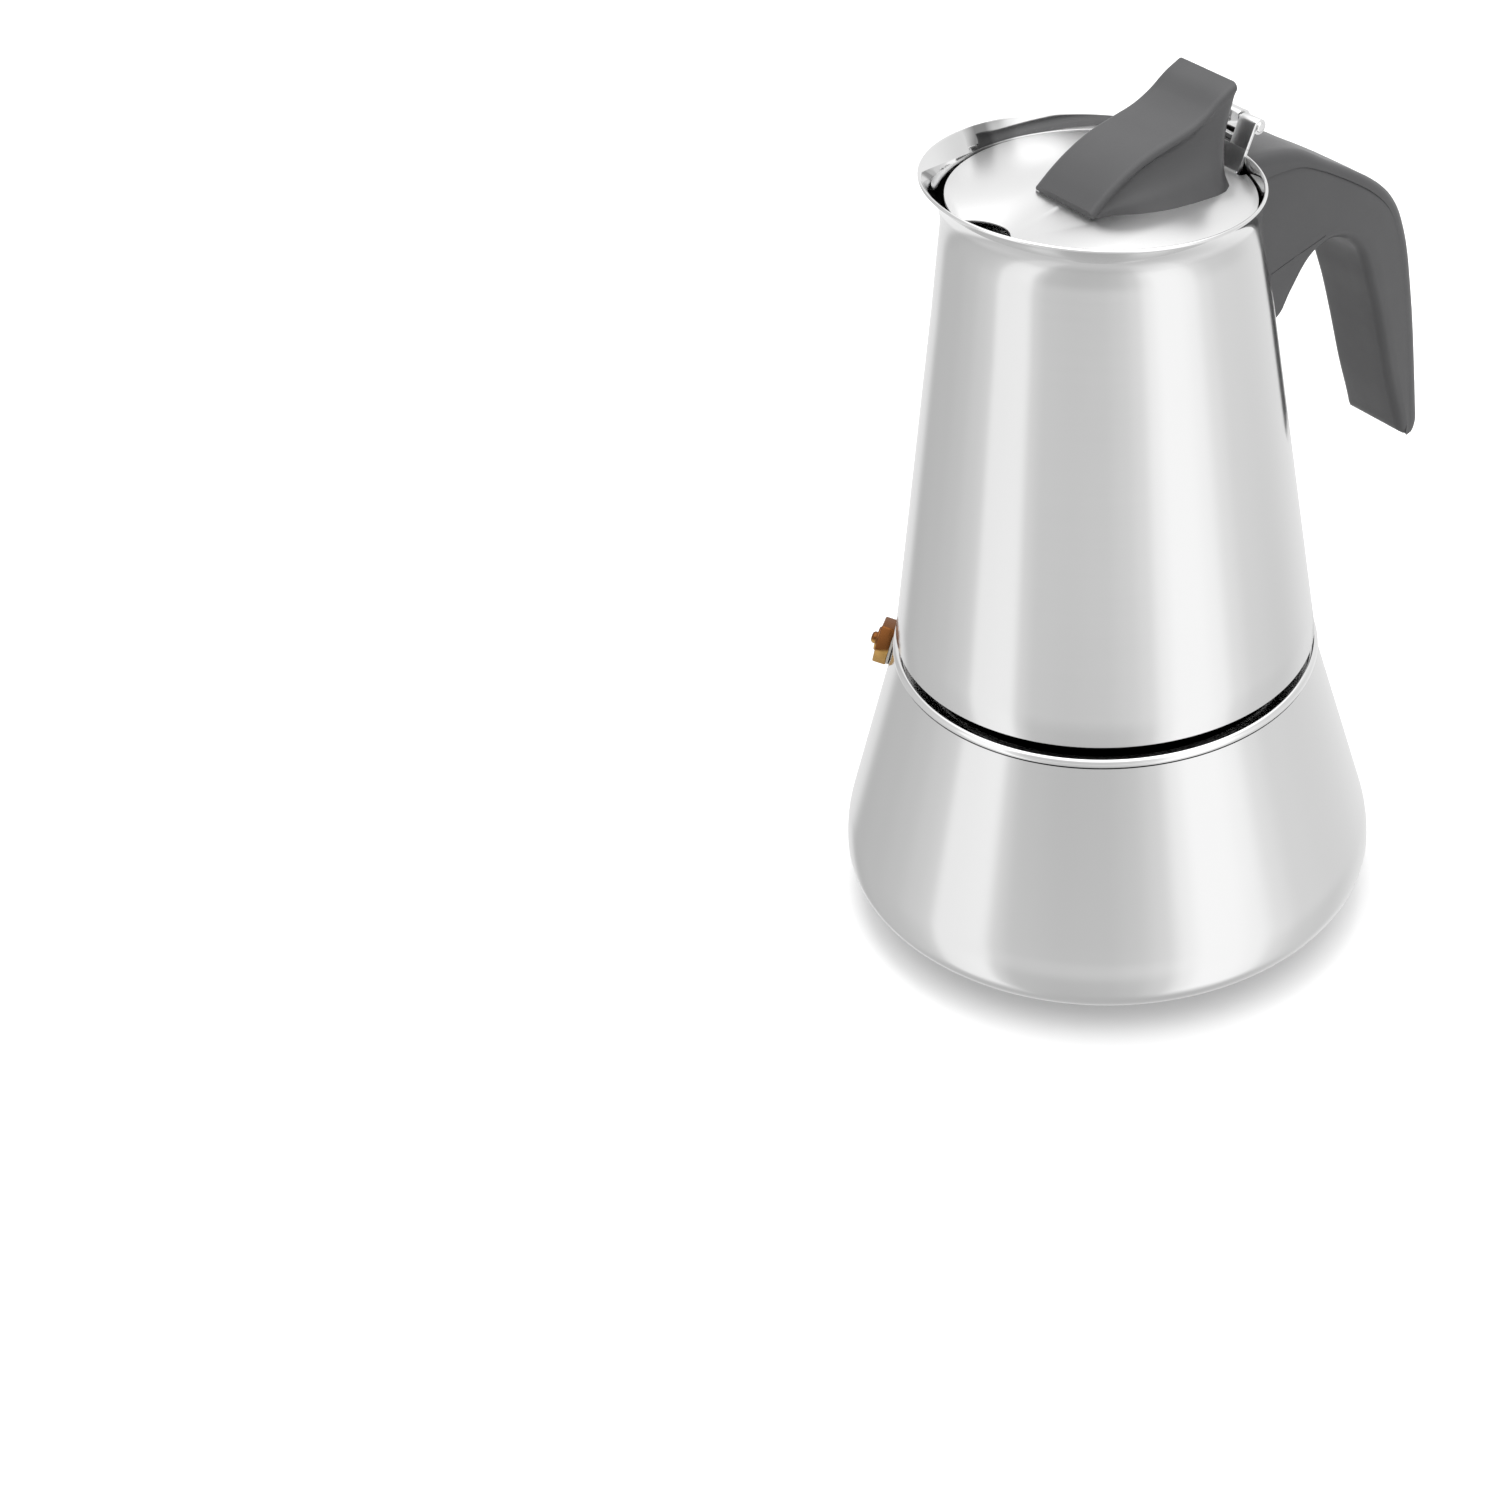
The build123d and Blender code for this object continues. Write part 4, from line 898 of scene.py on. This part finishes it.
def knobStation(bm, top, low, heel):   # one section, from the ribbon down to the foot
    foot = footHalf(low[0])
    edge = knob["edge"]
    across = Vector((low[0] - top[0], low[1] - top[1]))
    half = knob["half"]
    side = [(0.0, 0.0), (half * 0.5, 0.0)]
    side += [(x, (edge - z) / across.length) for x, z in arc((half - edge, 0), (edge, edge), 90, 0, 6)]
    for step in range(1, knob["sideRows"] + 1):
        part = edge / across.length + (1 - edge / across.length) * step / knob["sideRows"]
        waist = math.sin(math.pi * min(part / knob["waistEnd"], 1.0)) * knob["waist"]
        side.append((half - waist + (foot - half) * part ** knob["spread"], part))
    side.append((0.0, 1.0))
    both = side + [(-w, p) for w, p in side[-2:0:-1]]
    loop = bmesh.ops.create_circle(bm, segments=len(both), radius=1.0)["verts"]
    for vert, (width, part) in zip(loop, both):
        x = top[0] + across.x * part + heel * math.sin(math.pi * part ** 3)
        vert.co = Vector((x, width, top[1] + across.y * part)) * mm
    return loop


def knobBody():
    bm = bmesh.new()
    tops = flowing(knob["top"], 8)
    loops = []
    count = len(tops)
    for step, top in enumerate(tops):
        part = step / (count - 1)
        lowX = knob["noseX"] + (knob["heelX"] - knob["noseX"]) * part
        loops.append(knobStation(bm, top, (lowX, lidTop(lowX)), -knob["backHollow"] * part ** 6))
    bridged(bm, loops)
    return softened(bm, knob["backEdge"], 55, 3, lambda spot: spot.x > knob["backFrom"] * mm)


piece(knobBody(), "knobBody", "lid", ["lid_knob"], plastic, 30)
print("lid and knob done")

# the pale floor, the room's light and the camera

floorLook = {"size": 6.0, "colour": (0.93, 0.93, 0.93, 1), "shade": (0.9, 0.9, 0.9, 1), "roughness": 0.8}
floorBm = bmesh.new()
bmesh.ops.create_grid(floorBm, x_segments=4, y_segments=4, size=floorLook["size"])
floorMesh = bpy.data.meshes.new("floor")
floorBm.to_mesh(floorMesh)
floorBm.free()
floor = bpy.data.objects.new("floor", floorMesh)
bpy.context.scene.collection.objects.link(floor)
floor.visible_glossy = False   # the metal mirrors the studio's walls, not the bright floor


def paleFloor(wiring):
    cloud = wiring.noise(wiring.place(), 6.0, 2.0)
    colour = wiring.tint(cloud, floorLook["colour"], floorLook["shade"])
    return {"Base Color": colour, "Roughness": floorLook["roughness"]}


floorMesh.materials.append(finish("paleFloor", paleFloor))

cameraSetup = {
    "spot": (-0.33611, -0.40065, 0.42663), "turn": (53.102, 4.229, -35.006), "lens": 74.35, "sensor": 36.0,
}
camera = bpy.data.cameras.new("camera")
camera.lens = cameraSetup["lens"]
camera.sensor_width = cameraSetup["sensor"]
cameraObject = bpy.data.objects.new("camera", camera)
cameraObject.location = cameraSetup["spot"]
cameraObject.rotation_euler = [math.radians(a) for a in cameraSetup["turn"]]
bpy.context.scene.collection.objects.link(cameraObject)
bpy.context.scene.camera = cameraObject

studio = {
    # brightness round the room by direction: 0.5 is towards the viewer, more is to the right
    "walls": [(0.0, 0.92), (0.085, 0.90), (0.122, 0.63), (0.18, 0.65), (0.225, 0.71), (0.262, 0.80),
              (0.285, 0.86), (0.300, 1.12), (0.360, 1.14), (0.376, 0.88), (0.40, 0.79), (0.45, 0.78),
              (0.50, 0.80), (0.538, 0.87), (0.565, 0.96), (0.59, 1.18), (0.612, 1.27), (0.648, 1.27),
              (0.676, 1.21), (0.708, 1.02), (0.74, 0.91), (0.80, 0.88), (0.90, 0.92), (1.0, 0.92)],
    # the same walls seen at the height that the boiler mirrors
    "lowWalls": [(0.0, 0.92), (0.085, 0.90), (0.122, 0.58), (0.18, 0.66), (0.225, 0.70), (0.262, 0.76),
                 (0.282, 0.84), (0.297, 1.12), (0.356, 1.19), (0.372, 0.84), (0.392, 0.68), (0.45, 0.64),
                 (0.50, 0.655), (0.53, 0.70), (0.565, 0.84), (0.592, 1.14), (0.612, 1.28), (0.650, 1.28),
                 (0.680, 1.21), (0.71, 0.94), (0.745, 0.82), (0.80, 0.78), (0.90, 0.92), (1.0, 0.92)],
    "wallsAt": -0.31, "wallsNear": 0.07, "wallsFar": 0.17,
    "frontAngle": -130.0, "strength": 1.0, "above": 1.4, "aboveFrom": 0.58, "aboveTo": 0.98,
    "below": 0.60, "belowFrom": 0.76, "belowTo": 0.97,
    "keySpot": (0.30, 0.55, 1.5), "keyAim": (0, 0, 0.08), "keySize": 0.9, "keyPower": 9.0,
}


def roomLight():
    world = bpy.data.worlds.new("studio")
    bpy.context.scene.world = world
    world.use_nodes = True
    wiring = Wiring(world.node_tree)
    turn = (0, 0, -math.radians(studio["frontAngle"]))
    ray = wiring.add("ShaderNodeTexCoord", out="Generated")
    ray = wiring.add("ShaderNodeMapping", {}, {"Vector": ray, "Rotation": turn})
    x, y, z = (wiring.add("ShaderNodeSeparateXYZ", {}, {"Vector": ray}, out=i) for i in range(3))
    around = y.join("ARCTAN2", x) / math.tau + 0.5
    away = (z - studio["wallsAt"]).join("ABSOLUTE") - studio["wallsNear"]
    away = clamped(away / (studio["wallsFar"] - studio["wallsNear"]))
    walls = wiring.ramp(around, studio["walls"]) * (1 - away) + wiring.ramp(around, studio["lowWalls"]) * away
    high = ((z - studio["aboveFrom"]) / (studio["aboveTo"] - studio["aboveFrom"])).join("MAXIMUM", 0.0)
    deep = clamped((0 - z - studio["belowFrom"]) / (studio["belowTo"] - studio["belowFrom"]))
    shine = walls * (1 - deep) + deep * studio["below"]
    background = world.node_tree.nodes["Background"]
    plug(wiring.tree, background.inputs["Color"], shine + high * studio["above"])
    background.inputs["Strength"].default_value = studio["strength"]


def softLamp(name, spot, size, power):
    data = bpy.data.lights.new(name, "AREA")
    data.shape = "SQUARE"
    data.size = size
    data.energy = power
    lamp = bpy.data.objects.new(name, data)
    lamp.location = spot
    lamp.rotation_euler = (Vector(studio["keyAim"]) - Vector(spot)).to_track_quat("-Z", "Y").to_euler()
    lamp.visible_glossy = False   # it lights the plastic without showing in the lid
    bpy.context.scene.collection.objects.link(lamp)


roomLight()
softLamp("key", studio["keySpot"], studio["keySize"], studio["keyPower"])
bpy.context.scene.view_settings.view_transform = "Standard"
print("stage done")
